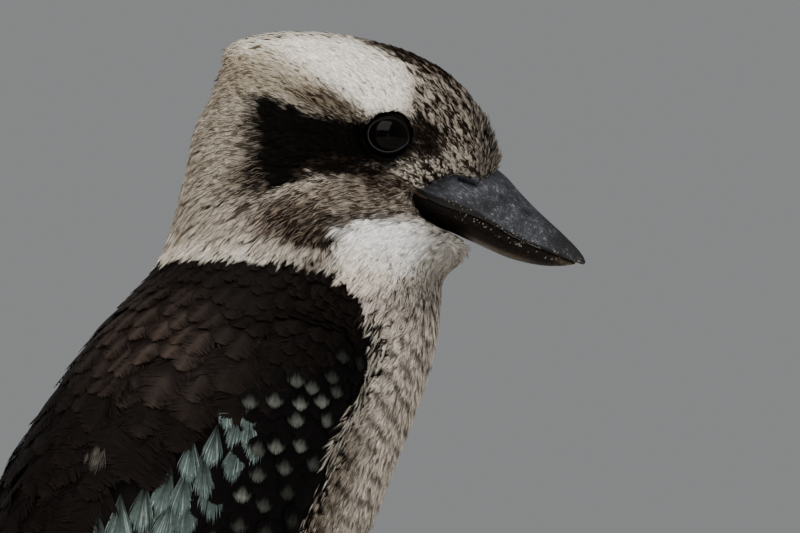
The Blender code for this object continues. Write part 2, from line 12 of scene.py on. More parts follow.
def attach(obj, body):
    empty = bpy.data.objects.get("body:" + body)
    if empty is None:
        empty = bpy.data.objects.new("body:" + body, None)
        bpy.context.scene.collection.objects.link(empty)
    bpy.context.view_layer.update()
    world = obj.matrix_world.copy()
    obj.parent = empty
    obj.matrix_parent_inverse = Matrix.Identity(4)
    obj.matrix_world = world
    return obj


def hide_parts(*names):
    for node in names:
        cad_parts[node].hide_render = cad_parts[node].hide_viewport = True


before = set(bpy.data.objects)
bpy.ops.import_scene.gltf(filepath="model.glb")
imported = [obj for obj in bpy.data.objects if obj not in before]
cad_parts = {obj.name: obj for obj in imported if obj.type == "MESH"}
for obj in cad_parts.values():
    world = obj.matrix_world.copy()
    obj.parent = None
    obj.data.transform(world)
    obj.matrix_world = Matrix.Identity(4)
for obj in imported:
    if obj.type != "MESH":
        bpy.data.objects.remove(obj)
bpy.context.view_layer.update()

# SKIN
# The bird's own thin skin, tanned and drawn whole over a carved body, so that it has no seams. It is
# matt, has the coat's colours darkened by painted shade for the gaps between barbs, and lies under
# the feather tips by the depth of the coat.

MM = 0.001
MIDDLE = np.array([27.7, 5.9]) * MM  # the head's and the trunk's middle planes cross here
BODY_TURN = math.radians(12)
FLESH = ("head", "neck", "trunk", "wing_left", "wing_right", "thigh_left", "thigh_right")
EYE = np.array([50.2, -9.7, 311.6]) * MM  # centre of the right eyeball


def smooth(x):
    """0 below 0, 1 above 1, and a soft step between."""
    x = np.clip(x, 0, 1)
    return x * x * (3 - 2 * x)


def unit(v):
    """Ways made one metre long."""
    return v / np.maximum(np.linalg.norm(v, axis=-1, keepdims=True), 1e-12)


def linear(code):
    """A colour in linear light from its sRGB hex code."""
    parts = np.array([int(code[i : i + 2], 16) for i in (1, 3, 5)]) / 255
    return np.where(parts <= 0.04045, parts / 12.92, ((parts + 0.055) / 1.055) ** 2.4)


def turn_at(points):
    """How far the bird is turned at each point's height, in radians: the trunk is, and the head isn't."""
    return BODY_TURN * smooth((290 * MM - points[:, 2]) / (25 * MM))


def right_side(points):
    """Points of the bird's left mirrored to its right, and the direction of the mirror, or 0."""
    turn = turn_at(points)
    across = np.stack([-np.sin(turn), np.cos(turn), np.zeros(len(turn))], axis=1)
    away = ((points[:, :2] - MIDDLE) * across[:, :2]).sum(1)
    across[away <= 0] = 0
    return points - 2 * np.maximum(away, 0)[:, None] * across, across


def side_view(points):
    """Where points lie seen from the bird's own side: x and z in mm."""
    seen = right_side(points)[0] / MM
    return seen[:, 0], seen[:, 2]


def inside(outline, x, z, soft):
    """1 inside an outline of (x, z) corners in mm, 0 outside, and in between over the soft edge."""
    near = np.full(x.shape, 1e9)
    odd = np.zeros(x.shape, bool)
    for (x0, z0), (x1, z1) in zip(outline, outline[1:] + outline[:1]):
        dx, dz = x1 - x0, z1 - z0
        t = np.clip(((x - x0) * dx + (z - z0) * dz) / (dx * dx + dz * dz), 0, 1)
        near = np.minimum(near, np.hypot(x - x0 - t * dx, z - z0 - t * dz))
        odd ^= ((z0 > z) != (z1 > z)) & (x < x0 + (z - z0) * dx / (dz or 1))
    return smooth(0.5 + np.where(odd, near, -near) / soft)


# Each patch of the bird's pattern, and two patches of painted shade under the bill and throat: how soft
# its edge is in mm, the colour of its pale barbs and of its dark ones, the share of dark ones, the
# strength of cross bars, how far whole feathers are one or the other, and its outline seen from the right.
MARKINGS = (
    (9, "#ddd2c2", "#453b31", 0.08, 1.0, 0.05, [(-200, -50), (200, -50), (200, 400), (-200, 400)]),
    (18, "#c4bbab", "#6c6053", 0.14, 0.8, 0.1, [(-90, 60), (90, 60), (60, 205), (20, 205), (-90, 190)]),
    (9, "#8f8474", "#3a3027", 0.20, 1.1, 0.1, [(34.5, 234.6), (45.8, 231.9), (39.9, 213.0), (34.5, 196.8),
        (21.0, 196.8)]),
    (5, "#9c9487", "#635a4e", 0.34, 0.0, 0.15, [(-16.8, 342.6), (-16.8, 275.1), (38.6, 273.8),
        (39.9, 290.0), (16.1, 296.7), (12.9, 322.4), (6.2, 339.9)]),
    (8, "#989183", "#5a5044", 0.42, 0.0, 0.15, [(-3.3, 334.5), (6.4, 324.3), (11.8, 315.6), (9.1, 296.7),
        (0.8, 290.0), (-10.0, 287.3), (-10.0, 315.6)]),
    (5, "#a1968a", "#40352b", 0.46, 0.0, 0.15, [(6.4, 295.1), (16.1, 295.1), (21.0, 282.7), (12.9, 282.7),
        (8.0, 290.2)]),
    (3, "#c4bdb0", "#75695a", 0.16, 0.0, 0.3, [(-14.1, 283.8), (3.7, 282.4), (16.1, 283.2), (24.2, 281.1),
        (38.6, 279.2), (38.6, 271.1), (-14.1, 272.4)]),
    (6, "#8a8170", "#4d4437", 0.26, 0.0, 0.2, [(-3.3, 327.0), (2.6, 343.7), (37.2, 343.7), (44.2, 316.2),
        (34.8, 317.2), (26.4, 319.4), (16.1, 321.8), (6.2, 323.2)]),
    (9, "#aaa08e", "#5f543f", 0.13, 0.0, 0.2, [(7.0, 343.7), (38.6, 343.7), (44.2, 316.2), (38.6, 319.1),
        (29.1, 323.2), (21.0, 328.0), (10.2, 332.4)]),
    (9, "#ece7dc", "#8a7e6c", 0.03, 0.0, 0.0, [(16.1, 343.7), (40.4, 343.7), (50.2, 335.3), (56.9, 329.1),
        (55.8, 323.2), (53.1, 318.1), (45.0, 316.4), (40.4, 321.0), (33.4, 326.4), (25.3, 332.4),
        (16.1, 336.7)]),
    (2, "#c9c3b6", "#40382f", 0.2, 0.0, 0.95, [(8.0, 338.3), (12.9, 342.6), (40.4, 342.6), (46.9, 338.3),
        (40.4, 337.5), (26.4, 338.0), (16.7, 337.0), (10.2, 332.9)]),
    (5, "#665c4d", "#2a2119", 0.6, 0.0, 0.12, [(24.2, 323.2), (32.3, 324.8), (38.6, 321.0), (43.7, 318.3),
        (44.5, 314.5), (36.1, 315.9), (28.0, 318.1)]),
    (5, "#b3a998", "#261e17", 0.52, 0.0, 0.5, [(49.1, 335.6), (64.2, 334.5), (72.3, 323.7), (64.2, 315.6),
        (58.8, 317.8), (56.4, 323.2), (56.9, 329.7)]),
    (7, "#978d7f", "#1a130e", 0.62, 0.0, 0.45, [(59.9, 331.8), (85.8, 326.4), (85.8, 307.5), (75.0, 304.8),
        (64.2, 307.5), (57.2, 312.9), (55.0, 317.8), (59.9, 322.1)]),
    (3, "#9a9184", "#2a211a", 0.4, 0.0, 0.4, [(64.2, 308.1), (75.0, 307.0), (85.8, 308.1), (85.8, 296.7),
        (72.8, 296.7), (64.2, 300.0)]),
    (2, "#5a4e42", "#120d0a", 0.8, 0.0, 0.5, [(35.6, 345.3), (39.9, 338.6), (46.6, 335.6), (52.6, 332.6),
        (58.3, 329.9), (63.1, 328.3), (66.9, 326.4), (73.9, 325.3), (64.2, 339.9)]),
    (3, "#30271f", "#0d0906", 0.82, 0.0, 0.5, [(55.0, 315.6), (59.3, 317.2), (65.3, 311.8), (64.2, 305.4),
        (59.3, 304.8), (54.8, 304.8), (56.6, 310.2)]),
    (5, "#8b8173", "#40352a", 0.42, 0.0, 0.15, [(20.2, 295.6), (29.1, 299.7), (40.7, 301.0), (50.2, 300.8),
        (55.0, 297.8), (58.5, 292.9), (58.5, 289.7), (35.0, 290.2), (29.1, 291.1), (23.7, 293.2)]),
    (4, "#665b50", "#281e17", 0.62, 0.0, 0.15, [(38.8, 301.6), (51.2, 301.6), (55.6, 297.8), (53.4, 293.5),
        (45.8, 296.2)]),
    (5, "#5f5348", "#19120d", 0.66, 0.0, 0.12, [(16.1, 293.5), (26.7, 295.4), (30.7, 291.1), (35.6, 289.7),
        (38.6, 286.5), (38.0, 279.4), (29.6, 278.1), (20.5, 281.6), (16.1, 286.5)]),
    (8, "#675d52", "#120e0a", 0.62, 0.0, 0.05, [(11.3, 318.9), (17.8, 319.4), (17.8, 294.6), (7.0, 294.6),
        (8.6, 301.6), (10.7, 307.5)]),
    (2, "#0a0806", "#040302", 0.6, 0.0, 0.3, [(13.2, 323.2), (18.3, 322.1), (23.2, 320.2), (29.1, 317.8),
        (36.1, 316.2), (44.2, 315.1), (49.6, 317.8), (53.9, 316.4), (56.6, 311.8), (58.3, 307.5),
        (54.8, 304.3), (52.3, 302.1), (44.2, 304.0), (35.0, 301.9), (29.1, 300.8), (24.5, 298.1),
        (19.6, 296.5), (15.6, 296.2), (14.0, 301.6), (14.0, 307.5), (14.0, 313.5), (13.4, 318.3)]),
    (3, "#2e231b", "#0c0806", 0.6, 0.0, 0.7, [(28.0, 304.0), (35.0, 305.4), (44.2, 304.6), (51.2, 302.7),
        (53.9, 298.9), (42.1, 300.2), (34.5, 300.8), (28.0, 299.4)]),
    (3, "#a89e8f", "#1d1712", 0.4, 0.0, 0.9, [(54.5, 303.8), (64.2, 304.3), (68.5, 300.0), (64.2, 297.8),
        (59.9, 296.2), (55.6, 297.8)]),
    (4, "#f4f3ee", "#d8d5cd", 0.05, 0.0, 0.3, [(38.6, 287.5), (46.6, 289.2), (57.2, 288.9), (64.2, 285.9),
        (72.3, 283.2), (75.0, 281.1), (67.2, 277.0), (55.6, 276.5), (46.6, 278.9), (38.6, 282.1)]),
    # Painted shadow of the bill on the chin: the front of the white throat greyed.
    (9, "#8f8a81", "#6d655a", 0.16, 0.0, 0.3, [(59.9, 288.1), (65.6, 286.5), (75.0, 284.3), (77.7, 277.3),
        (67.4, 270.8), (58.8, 271.3)]),
    (1.2, "#3f362d", "#100c0a", 0.7, 0.0, 0.3, [(56.1, 297.8), (58.8, 295.1), (60.7, 290.8), (64.5, 288.4),
        (72.3, 284.3), (71.8, 282.4), (63.7, 286.2), (59.1, 289.2), (57.2, 292.9)]),
    (2, "#4c4136", "#1b1511", 0.7, 0.0, 0.3, [(35.6, 291.3), (48.0, 290.8), (58.3, 290.0), (57.7, 288.9),
        (46.9, 289.2), (37.2, 288.1)]),
    (8, "#bcb1a5", "#453b31", 0.16, 1.0, 0.05, [(38.6, 274.0), (53.4, 270.3), (66.9, 271.3), (67.4, 267.0),
        (58.8, 258.9), (45.8, 261.6)]),
    # Painted shade under the throat: the top of the neck's front darkened.
    (7, "#8b857b", "#4f483f", 0.26, 0.8, 0.05, [(53.9, 273.0), (59.9, 273.5), (66.9, 276.2), (67.4, 265.4),
        (59.9, 264.9), (53.9, 267.6)]))


def markings(points):
    """The pattern at points: pale colour, dark colour, share of dark, cross bars, whole feathers."""
    x, z = side_view(points)
    wave = np.sin(x * 1.9 + 1.3 * np.sin(z * 1.1)) + np.sin(z * 2.3 + 1.7 * np.sin(x * 0.9))
    found = np.zeros((len(x), 9))
    for soft, pale, dark, share, bars, whole, outline in MARKINGS:
        patch = np.concatenate([linear(pale), linear(dark), [share, bars, whole]])
        cover = inside(outline, x + 0.4 * wave, z + 0.4 * np.roll(wave, 1), soft)
        found += cover[:, None] * (patch - found)
    return found[:, :3], found[:, 3:6], found[:, 6], found[:, 7], found[:, 8]


def new_object(name, data):
    """A new object in the scene."""
    thing = bpy.data.objects.new(name, data)
    bpy.context.scene.collection.objects.link(thing)
    return thing


def add_piece(name, mesh, slot, *replaced):
    """Puts a mesh in the scene as a piece that rides with the model."""
    piece = new_object(name, mesh)
    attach(piece, "root")
    if replaced:
        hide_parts(*replaced)


def dress(mesh, *materials):
    """Gives a mesh smooth faces and its materials."""
    mesh.polygons.foreach_set("use_smooth", [True] * len(mesh.polygons))
    for material in materials:
        mesh.materials.append(material)


def read(items, key, kind=float):
    """A value of three parts for each point, face or triangle of a mesh."""
    flat = np.zeros(len(items) * 3, kind)
    items.foreach_get(key, flat)
    return flat.reshape(-1, 3)


def points_of(mesh):
    """The places of a mesh's points."""
    return read(mesh.vertices, "co")


def normals_of(mesh):
    """The ways out of a mesh at its points."""
    return read(mesh.vertices, "normal")


def settled(name, mesh, *modifiers):
    """The mesh with these modifiers (kind and settings) applied."""
    holder = new_object(name, mesh)
    for kind, settings in modifiers:
        modifier = holder.modifiers.new(kind, kind)
        for key, value in settings.items():
            setattr(modifier, key, value)
    bpy.context.view_layer.update()
    ready = holder.evaluated_get(bpy.context.evaluated_depsgraph_get())
    result = bpy.data.meshes.new_from_object(ready)
    bpy.data.objects.remove(holder)
    return result


def closed_form(name, nodes, voxel, rounds):
    """One closed, evened-out mesh round copies of these CAD nodes, with no surface shut up inside."""
    joined = bmesh.new()
    for node in nodes:
        joined.from_mesh(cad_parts[node].data)
    bmesh.ops.remove_doubles(joined, verts=joined.verts, dist=0.001 * MM)
    mesh = bpy.data.meshes.new(name)
    joined.to_mesh(mesh)
    joined.free()
    mesh = settled(name, mesh, ("REMESH", {"mode": "VOXEL", "voxel_size": voxel * MM}), ("SMOOTH",
        {"factor": 0.5, "iterations": rounds}))
    whole = bmesh.new()
    whole.from_mesh(mesh)
    whole.verts.ensure_lookup_table()
    waiting = [max(whole.verts, key=lambda v: v.co.z)]
    reached = set(waiting)
    while waiting:
        for edge in waiting.pop().link_edges:
            for other in edge.verts:
                if other not in reached:
                    reached.add(other)
                    waiting.append(other)
    bmesh.ops.delete(whole, geom=[v for v in whole.verts if v not in reached], context="VERTS")
    whole.to_mesh(mesh)
    whole.free()
    return mesh


def coat_depth(points):
    """How far the skin lies under the feather tips, in metres."""
    seen = right_side(points)[0]
    x, z = side_view(points)
    deep = np.interp(z, (120, 165, 200, 250, 270, 290, 320), (0.7, 3.4, 4.2, 3.6, 2.6, 1.8, 1.4))
    deep *= 1 - 0.65 * smooth((x - 52) / 22) * (z > 268)
    deep *= 0.35 + 0.65 * smooth((np.linalg.norm(seen - EYE, axis=1) / MM - 8) / 8)
    return deep * MM


def add_node(material, kind, *inputs, stops=(), **named):
    """Adds a shader node to a material.

    Inputs come in the node's own order, or by name with _ for a space; names in small letters are its
    settings. A node given as an input is linked by its first output, and (node, output) by that one.
    A hex code is a colour, and the stops of a colour ramp are places with hex codes.
    """
    node = material.node_tree.nodes.new("ShaderNode" + kind)
    for key, value in [*enumerate(inputs), *named.items()]:
        if str(key)[0].islower():
            setattr(node, key, value)
            continue
        socket = node.inputs[key.replace("_", " ") if isinstance(key, str) else key]
        if isinstance(value, str):
            value = (*linear(value), 1)
        source = value if isinstance(value, tuple) else (value, 0)
        if isinstance(source[0], bpy.types.Node):
            material.node_tree.links.new(source[0].outputs[source[1]], socket)
        else:
            socket.default_value = value
    for number, (where, code) in enumerate(stops):
        stop = node.color_ramp.elements[number]
        stop.position, stop.color = where, (*linear(code), 1)
    return node


def new_material(name):
    """An empty material, the function that adds nodes to it, and the place on the model as an input."""
    material = bpy.data.materials.new(name)
    material.use_nodes = True
    material.node_tree.nodes.clear()
    add = partial(add_node, material)
    return material, add, (add("TexCoord"), "Object")


def finish_material(material, **inputs):
    """Ends a material with a shader that has these inputs."""
    add_node(material, "OutputMaterial", add_node(material, "BsdfPrincipled", **inputs))
    return material


def tanned_skin():
    """Tanned bird skin: dull, a little rough and finely pimpled where each feather's quill comes out."""
    material, add, place = new_material("tanned_bird_skin")
    pores = add("TexVoronoi", Vector=place, Scale=1 / (1.6 * MM))
    shade = add("MapRange", pores, 0.0, 0.6, 1.0, 0.72)
    mixed = add("VectorMath", add("Attribute", attribute_name="coat"), shade, operation="MULTIPLY")
    bump = add("Bump", Height=pores, Strength=0.4, Distance=0.1 * MM)
    return finish_material(material, Base_Color=mixed, Roughness=0.85, Specular_IOR_Level=0.2, Normal=bump)


def press_nape(mesh):
    """Draws the nape in below the crown's rear corner, where its feathers lie close on a thinner neck."""
    points, normals = points_of(mesh), normals_of(mesh)
    x, z = points[:, 0] / MM, points[:, 2] / MM
    deep = np.interp(z, (286, 300, 312, 318, 325.5, 330.2, 334.4, 337.5), (0, 0.9, 1.4, 1.9, 3.7, 3.5, 0.9,
        0))
    points[:, 0] += deep * smooth((18 - x) / 14) * np.clip(-1.3 * normals[:, 0], 0, 1) * MM
    mesh.vertices.foreach_set("co", points.ravel())
    mesh.update()


form = closed_form("coat_surface", FLESH + ("tail",), 1.5, 4)
skin_mesh = closed_form("skin", FLESH, 1.5, 3)
for mesh in (form, skin_mesh):
    press_nape(mesh)
outer = points_of(skin_mesh)
inner = outer - normals_of(skin_mesh) * coat_depth(outer)[:, None]
skin_mesh.vertices.foreach_set("co", inner.ravel())
skin_mesh = settled("skin", skin_mesh, ("SMOOTH", {"factor": 0.5, "iterations": 3}))

# Where the back and wings begin, seen from the right, in mm: the dark feathers all grow inside it.
BACK = [(-16.8, 283.8), (-9.8, 283.2), (-3.3, 282.4), (3.5, 283.0), (12.9, 282.4), (23.7, 281.3),
    (32.3, 280.3), (38.6, 278.9), (41.5, 275.1), (45.8, 269.7), (49.6, 264.3), (51.0, 258.1), (49.9, 251.9),
    (47.7, 246.5), (44.5, 241.1), (41.8, 235.7), (39.9, 230.3), (38.8, 224.4), (36.1, 218.4), (31.3, 210.9),
    (27.5, 204.4), (23.5, 199), (14.5, 180), (5, 176), (-5, 170), (-15, 160), (-25, 150), (-35, 140),
    (-51, 130), (-63, 120), (-74, 84), (-120, 84), (-120, 150), (-95, 215), (-60, 262)]


def on_back(points, soft):
    """1 where the dark feathers of the back and wings grow, 0 off them."""
    return inside(BACK, *side_view(points), soft)


def corners_of(mesh):
    """The three points of each triangle of a mesh."""
    mesh.calc_loop_triangles()
    return read(mesh.loop_triangles, "vertices", int)


def tree_of(mesh):
    """A tree that finds the nearest place on a mesh, or the first that a ray meets."""
    return BVHTree.FromPolygons(points_of(mesh).tolist(), corners_of(mesh).tolist())


def nearness(points, nodes):
    """How far points are from the nearest of these CAD nodes, in mm."""
    trees = [tree_of(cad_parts[node].data) for node in nodes]
    return np.array([min(tree.find_nearest(p)[3] for tree in trees) for p in points.tolist()]) / MM


def on_wing(points):
    """Which points are on the lower, free ends of the wings, not on the body behind them."""
    found = np.zeros(len(points), bool)
    low = np.flatnonzero(points[:, 2] < 150 * MM)
    trunk = ("trunk", "tail", "thigh_left", "thigh_right")
    found[low] = nearness(points[low], ("wing_left", "wing_right")) + 0.8 < nearness(points[low], trunk)
    for tree in [tree_of(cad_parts[node].data) for node in trunk]:
        for number in np.flatnonzero(found).tolist():
            near, normal, _, _ = tree.find_nearest(points[number].tolist())
            found[number] = (Vector(points[number]) - near).dot(normal) > 0
    return found


def blend(colour, other, share):
    """Colours gone this far towards another."""
    return colour + share[..., None] * (other - colour)


def skin_colour(points):
    """The skin's colours: the pattern's, darkened by painted shade for the gaps between barbs, dark round
    the bill and black-brown on the back.
    """
    pale, dark, share, _, _ = markings(points)
    # Painted shade: the pattern's colours darkened to 0.42 for the gaps between barbs, and to 0.82 under
    # white feathers.
    colour = blend(pale, dark, share) * (0.42 + 0.4 * smooth((pale[:, 1:2] - 0.5) / 0.3))
    by_bill = smooth((nearness(points, ("bill_upper", "bill_lower")) - 0.8) / 1.6)
    colour = colour * (0.12 + 0.88 * by_bill)[:, None]
    return blend(colour, linear("#0d0907"), np.maximum(on_back(points, 3), on_wing(points)))


def store_colour(mesh, colour):
    """Keeps one linear colour for each point of the mesh, in the attribute that the coat is read from."""
    layer = mesh.color_attributes.new("coat", "FLOAT_COLOR", "POINT")
    layer.data.foreach_set("color", np.hstack([colour, np.ones((len(colour), 1))]).ravel())


store_colour(skin_mesh, skin_colour(outer))
dress(skin_mesh, tanned_skin())
add_piece("skin", skin_mesh, "feather_pale", "head", "neck", "trunk", "thigh_left", "thigh_right")

# EYES
# Each eye is a glass ball painted from behind, black-brown like a kookaburra's, and wet on the front.
# Bare lids close round it: a thin rim of beaded black skin, with a painted highlight in grey behind and
# below.


def wet_eye():
    """A glass eye: almost black iris with a black pupil, under a clear, polished cornea."""
    material, add, place = new_material("painted_glass_eye")
    split = add("SeparateXYZ", place)
    squares = []
    for axis, centre in (("X", EYE[0]), ("Z", EYE[2])):
        offset = add("Math", (split, axis), centre, operation="SUBTRACT")
        squares.append(add("Math", offset, 2.0, operation="POWER"))
    ring = add("Math", add("Math", *squares, operation="ADD"), 0.5, operation="POWER")
    iris = add("MapRange", ring, 2.6 * MM, 2.9 * MM)
    rays = add("TexNoise", Vector=place, Scale=1 / (0.5 * MM))
    colour = add("MixRGB", iris, "#020101", add("MixRGB", rays, "#030201", "#070403"))
    return finish_material(material, Base_Color=colour, Roughness=0.2, Specular_IOR_Level=0.0,
        Coat_Weight=1.0, Coat_Roughness=0.09, Coat_IOR=1.16)


def bare_skin(name):
    """Bare skin of the lids and gape: thin, and creased into beads about a third of a millimetre across."""
    material, add, place = new_material(name)
    beads = add("TexVoronoi", Vector=place, Scale=1 / (0.35 * MM))
    shade = add("MapRange", beads, 0.0, 1.0, 1.1, 0.5)
    colour = add("VectorMath", add("Attribute", attribute_name="coat"), shade, operation="MULTIPLY")
    bump = add("Bump", Height=beads, Strength=0.5, Distance=0.05 * MM, invert=True)
    return finish_material(material, Base_Color=colour, Roughness=0.6, Specular_IOR_Level=0.1, Normal=bump)


def set_material(node, material):
    """Gives a CAD node's object one material."""
    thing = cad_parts[node]
    if not thing.material_slots:
        thing.data.materials.append(material)
    for one in thing.material_slots:
        one.material = material


def mesh_from(name, points, faces, *materials):
    """A smooth mesh with these points, faces and materials."""
    mesh = bpy.data.meshes.new(name)
    mesh.from_pydata([tuple(p) for p in points], [], [tuple(int(i) for i in f) for f in faces])
    dress(mesh, *materials)
    return mesh


def tube_faces(rows, around):
    """Faces of a tube of rings of points: four-cornered ones, and then the two that close its ends."""
    faces = []
    for row in range(rows - 1):
        for column in range(around):
            start, beside = row * around + column, row * around + (column + 1) % around
            faces.append((start, beside, beside + around, start + around))
    return faces + [tuple(range(around - 1, -1, -1)), tuple(range((rows - 1) * around, rows * around))]


def left_eye(points):
    """Points by the right eye, on the left side of the head."""
    return points * (1, -1, 1) + (0, 2 * MIDDLE[1], 0)


def mirror_image(points, faces):
    """A mesh by the right eye, on the left side of the head."""
    return left_eye(points), [face[::-1] for face in faces]


# The ball bulges a little at the cornea. Rows run from its front to behind the lids.
BALL_ROWS, BALL_TURNS = 44, 64
ball_points = []
for theta in np.radians(np.linspace(0.1, 150, BALL_ROWS)):
    reach = 7.25 + 0.28 * smooth((math.radians(44) - theta) / math.radians(18))
    for step in range(BALL_TURNS):
        angle = 2 * math.pi * step / BALL_TURNS
        flat = reach * math.sin(theta)
        ball_points.append((flat * math.cos(angle), -reach * math.cos(theta), flat * math.sin(angle)))
ball_points = EYE + np.array(ball_points) * MM
*walls, front, rear = tube_faces(BALL_ROWS, BALL_TURNS)
ball_faces = [front, *[face[::-1] for face in walls], rear]

# The lids in rings from under the ball's edge out to the feathers: how far out from the opening, how
# proud, and how much painted grey highlight. The opening comes to a corner low at the front, with a
# crease running on from it.
LIDS = ((-0.35, -0.5, 0.0), (-0.1, 0.04, 0.1), (0.0, 0.16, 0.6), (0.12, 0.24, 1.0), (0.24, 0.18, 0.6),
    (0.36, 0.05, 0.1), (0.6, 0.1, 0.04), (0.9, 0.12, 0.04), (1.3, 0.1, 0.0), (1.9, 0.0, 0.0),
    (2.7, -0.3, 0.0))
LID_TURNS = 144
skin_tree, form_tree = tree_of(skin_mesh), tree_of(form)
lid_points, lid_colours = [], []
for row, (out, proud, grey) in enumerate(LIDS):
    for step in range(LID_TURNS):
        angle = 2 * math.pi * step / LID_TURNS
        corner = 0.5 * max(0.0, math.cos(angle + 0.40)) ** 18 + 0.2 * max(0.0, -math.cos(angle + 0.5)) ** 8
        x = (5.2 + out + corner) * math.cos(angle)
        z = (4.4 + out + 0.6 * corner) * math.sin(angle)
        ball = math.sqrt(max(7.27**2 - x * x - z * z, 0))
        hit = skin_tree.ray_cast(Vector(EYE) + Vector((x, -40, z)) * MM, Vector((0, 1, 0)))[0]
        bed = (EYE[1] - hit.y) / MM if hit else ball
        share = smooth((row - 3) / 6)
        level = ball * (1 - share) + max(ball - 0.4 * share, bed) * share
        t = min(max(((x - 5.2) * 1.5 - (z + 2.2) * 1.8) / 5.5, 0), 1)
        crease = math.exp(-(((x - 5.2 - 1.5 * t) ** 2 + (z + 2.2 + 1.8 * t) ** 2) / 0.06)) * (row > 2)
        lid_points.append(EYE + np.array([x, -(level + proud + 0.22 * crease), z]) * MM)
        # Painted highlight: the rim turns grey behind and below, most at its crest; the crease is drawn in
        # the same grey.
        under = smooth((0.75 - math.sin(angle + 0.55)) / 0.9)
        tone = max(grey * (0.04 + 0.96 * under), 0.7 * crease)
        lid_colours.append(linear("#0b0908") * (1 - tone) + linear("#3a3a3e") * tone)
lid_points, lid_colours = np.array(lid_points), np.array(lid_colours)
lid_faces = tube_faces(len(LIDS), LID_TURNS)[:-2]
lid_skin, glass_eye = bare_skin("bare_lid_skin"), wet_eye()
for side in ("right", "left"):
    if side == "left":
        ball_points, ball_faces = mirror_image(ball_points, ball_faces)
        lid_points, lid_faces = mirror_image(lid_points, lid_faces)
    ball_mesh = mesh_from("eyeball_" + side, ball_points, ball_faces, glass_eye)
    add_piece("eyeball_" + side, ball_mesh, "eye", "eye_" + side)
    lid_mesh = mesh_from("eyelid_" + side, lid_points, lid_faces, lid_skin)
    store_colour(lid_mesh, lid_colours)
    add_piece("eyelid_" + side, lid_mesh, "eye")

# BILL
# Horn sheaths over bone, grown not joined: slate black above, brown-black below with a paler streak
# near the tip. They are satin from wear, with fine scratches, grains of dust and a groove to the nostril.

NOSTRIL = np.array([71.9, 299.4])  # x and z of the slit's middle, in mm


def horn(name, body, worn, scratch_tint, gloss, streak):
    """Satin horn: fine lines along the bill, scratches that catch the light, and grains of dust."""
    material, add, place = new_material(name)
    along = add("Mapping", Vector=place, Rotation=(0, math.radians(-33), 0))
    grain = add("Mapping", Vector=along, Scale=(150, 3400, 3400))
    lines = add("TexNoise", Vector=grain, Scale=1.0, Detail=6.0, Roughness=0.7)
    cloud = add("TexNoise", Vector=place, Scale=1 / (5 * MM), Detail=9.0, Roughness=0.68)
    base = add("MixRGB", add("MapRange", cloud, 0.36, 0.66), body, worn)
    where = add("MapRange", cloud, 0.3, 0.62, 0.63, 0.51)
    scratch = add("Math", lines, where, operation="SUBTRACT")
    scratched = add("MixRGB", add("MapRange", scratch, 0.0, 0.12, 0.0, 0.75), base, scratch_tint)
    amount = add("SeparateXYZ", add("Attribute", attribute_name="coat"))
    streaked = add("MixRGB", (amount, "X"), scratched, streak)
    darker = add("MixRGB", (amount, "Z"), streaked, "#040303")
    grains = add("TexVoronoi", Vector=place, Scale=1 / (0.8 * MM), Randomness=1.0)
    drifts = add("TexNoise", Vector=place, Scale=1 / (1.3 * MM), Detail=3.0)
    reach = add("Math", add("MapRange", drifts, 0.4, 0.56), (amount, "Y"), operation="MULTIPLY")
    dust = add("Math", grains, reach, operation="LESS_THAN")
    dusty = add("MixRGB", dust, darker, add("MixRGB", drifts, "#25231f", "#7c776a"))
    satin = add("MapRange", cloud, 0.3, 0.7, 0.3, 0.52)
    rough = add("Math", (amount, "Z"), 0.4, satin, operation="MULTIPLY_ADD")
    bump = add("Bump", Height=lines, Strength=1.0, Distance=0.25 * MM)
    return finish_material(material, Base_Color=dusty, Roughness=rough, Specular_IOR_Level=gloss, IOR=1.54,
        Normal=bump)


# Side lines and half widths of the bill from inside the face to its tip, in mm: the outer profile
# (x, z), the line where the halves meet (x, z) and the half width there.
UPPER_BILL = ((60.2, 307.0, 55.6, 298.4, 15.0), (68.3, 307.0, 61.5, 294.3, 14.0),
    (75.5, 305.0, 68.3, 291.6, 12.3), (81.5, 300.9, 74.5, 289.4, 10.4), (85.8, 296.2, 79.6, 286.7, 8.6),
    (89.6, 292.2, 84.5, 284.0, 7.1), (93.5, 288.5, 89.0, 281.9, 5.7), (97.3, 285.0, 93.9, 280.0, 4.2),
    (100.7, 281.6, 98.5, 278.2, 2.8), (102.8, 279.0, 101.7, 277.0, 1.5), (103.6, 277.3, 103.1, 276.6, 0.6))
LOWER_BILL = ((53.4, 290.8, 55.6, 298.4, 14.3), (58.8, 287.6, 61.5, 294.3, 13.3),
    (66.1, 285.7, 68.3, 291.6, 11.6), (71.8, 283.2, 74.5, 289.4, 9.7), (77.2, 280.7, 79.6, 286.7, 7.9),
    (82.6, 278.4, 84.5, 284.0, 6.4), (87.7, 277.0, 89.0, 281.9, 5.0), (92.8, 276.2, 93.9, 280.0, 3.5),
    (97.7, 276.2, 98.5, 278.2, 2.1), (100.7, 276.7, 100.9, 277.3, 0.8))


def even_rows(rows, count):
    """As many rows as this on a smooth curve through the given ones."""
    rows = np.array(rows)
    place = np.linspace(0, len(rows) - 1.0001, count)
    low = place.astype(int)
    t = (place - low)[:, None]
    a, b, c, d = (rows[np.clip(low + shift, 0, len(rows) - 1)] for shift in (-1, 0, 1, 2))
    return b + 0.5 * t * (c - a + t * (2 * a - 5 * b + 4 * c - d + t * (3 * (b - c) + d - a)))


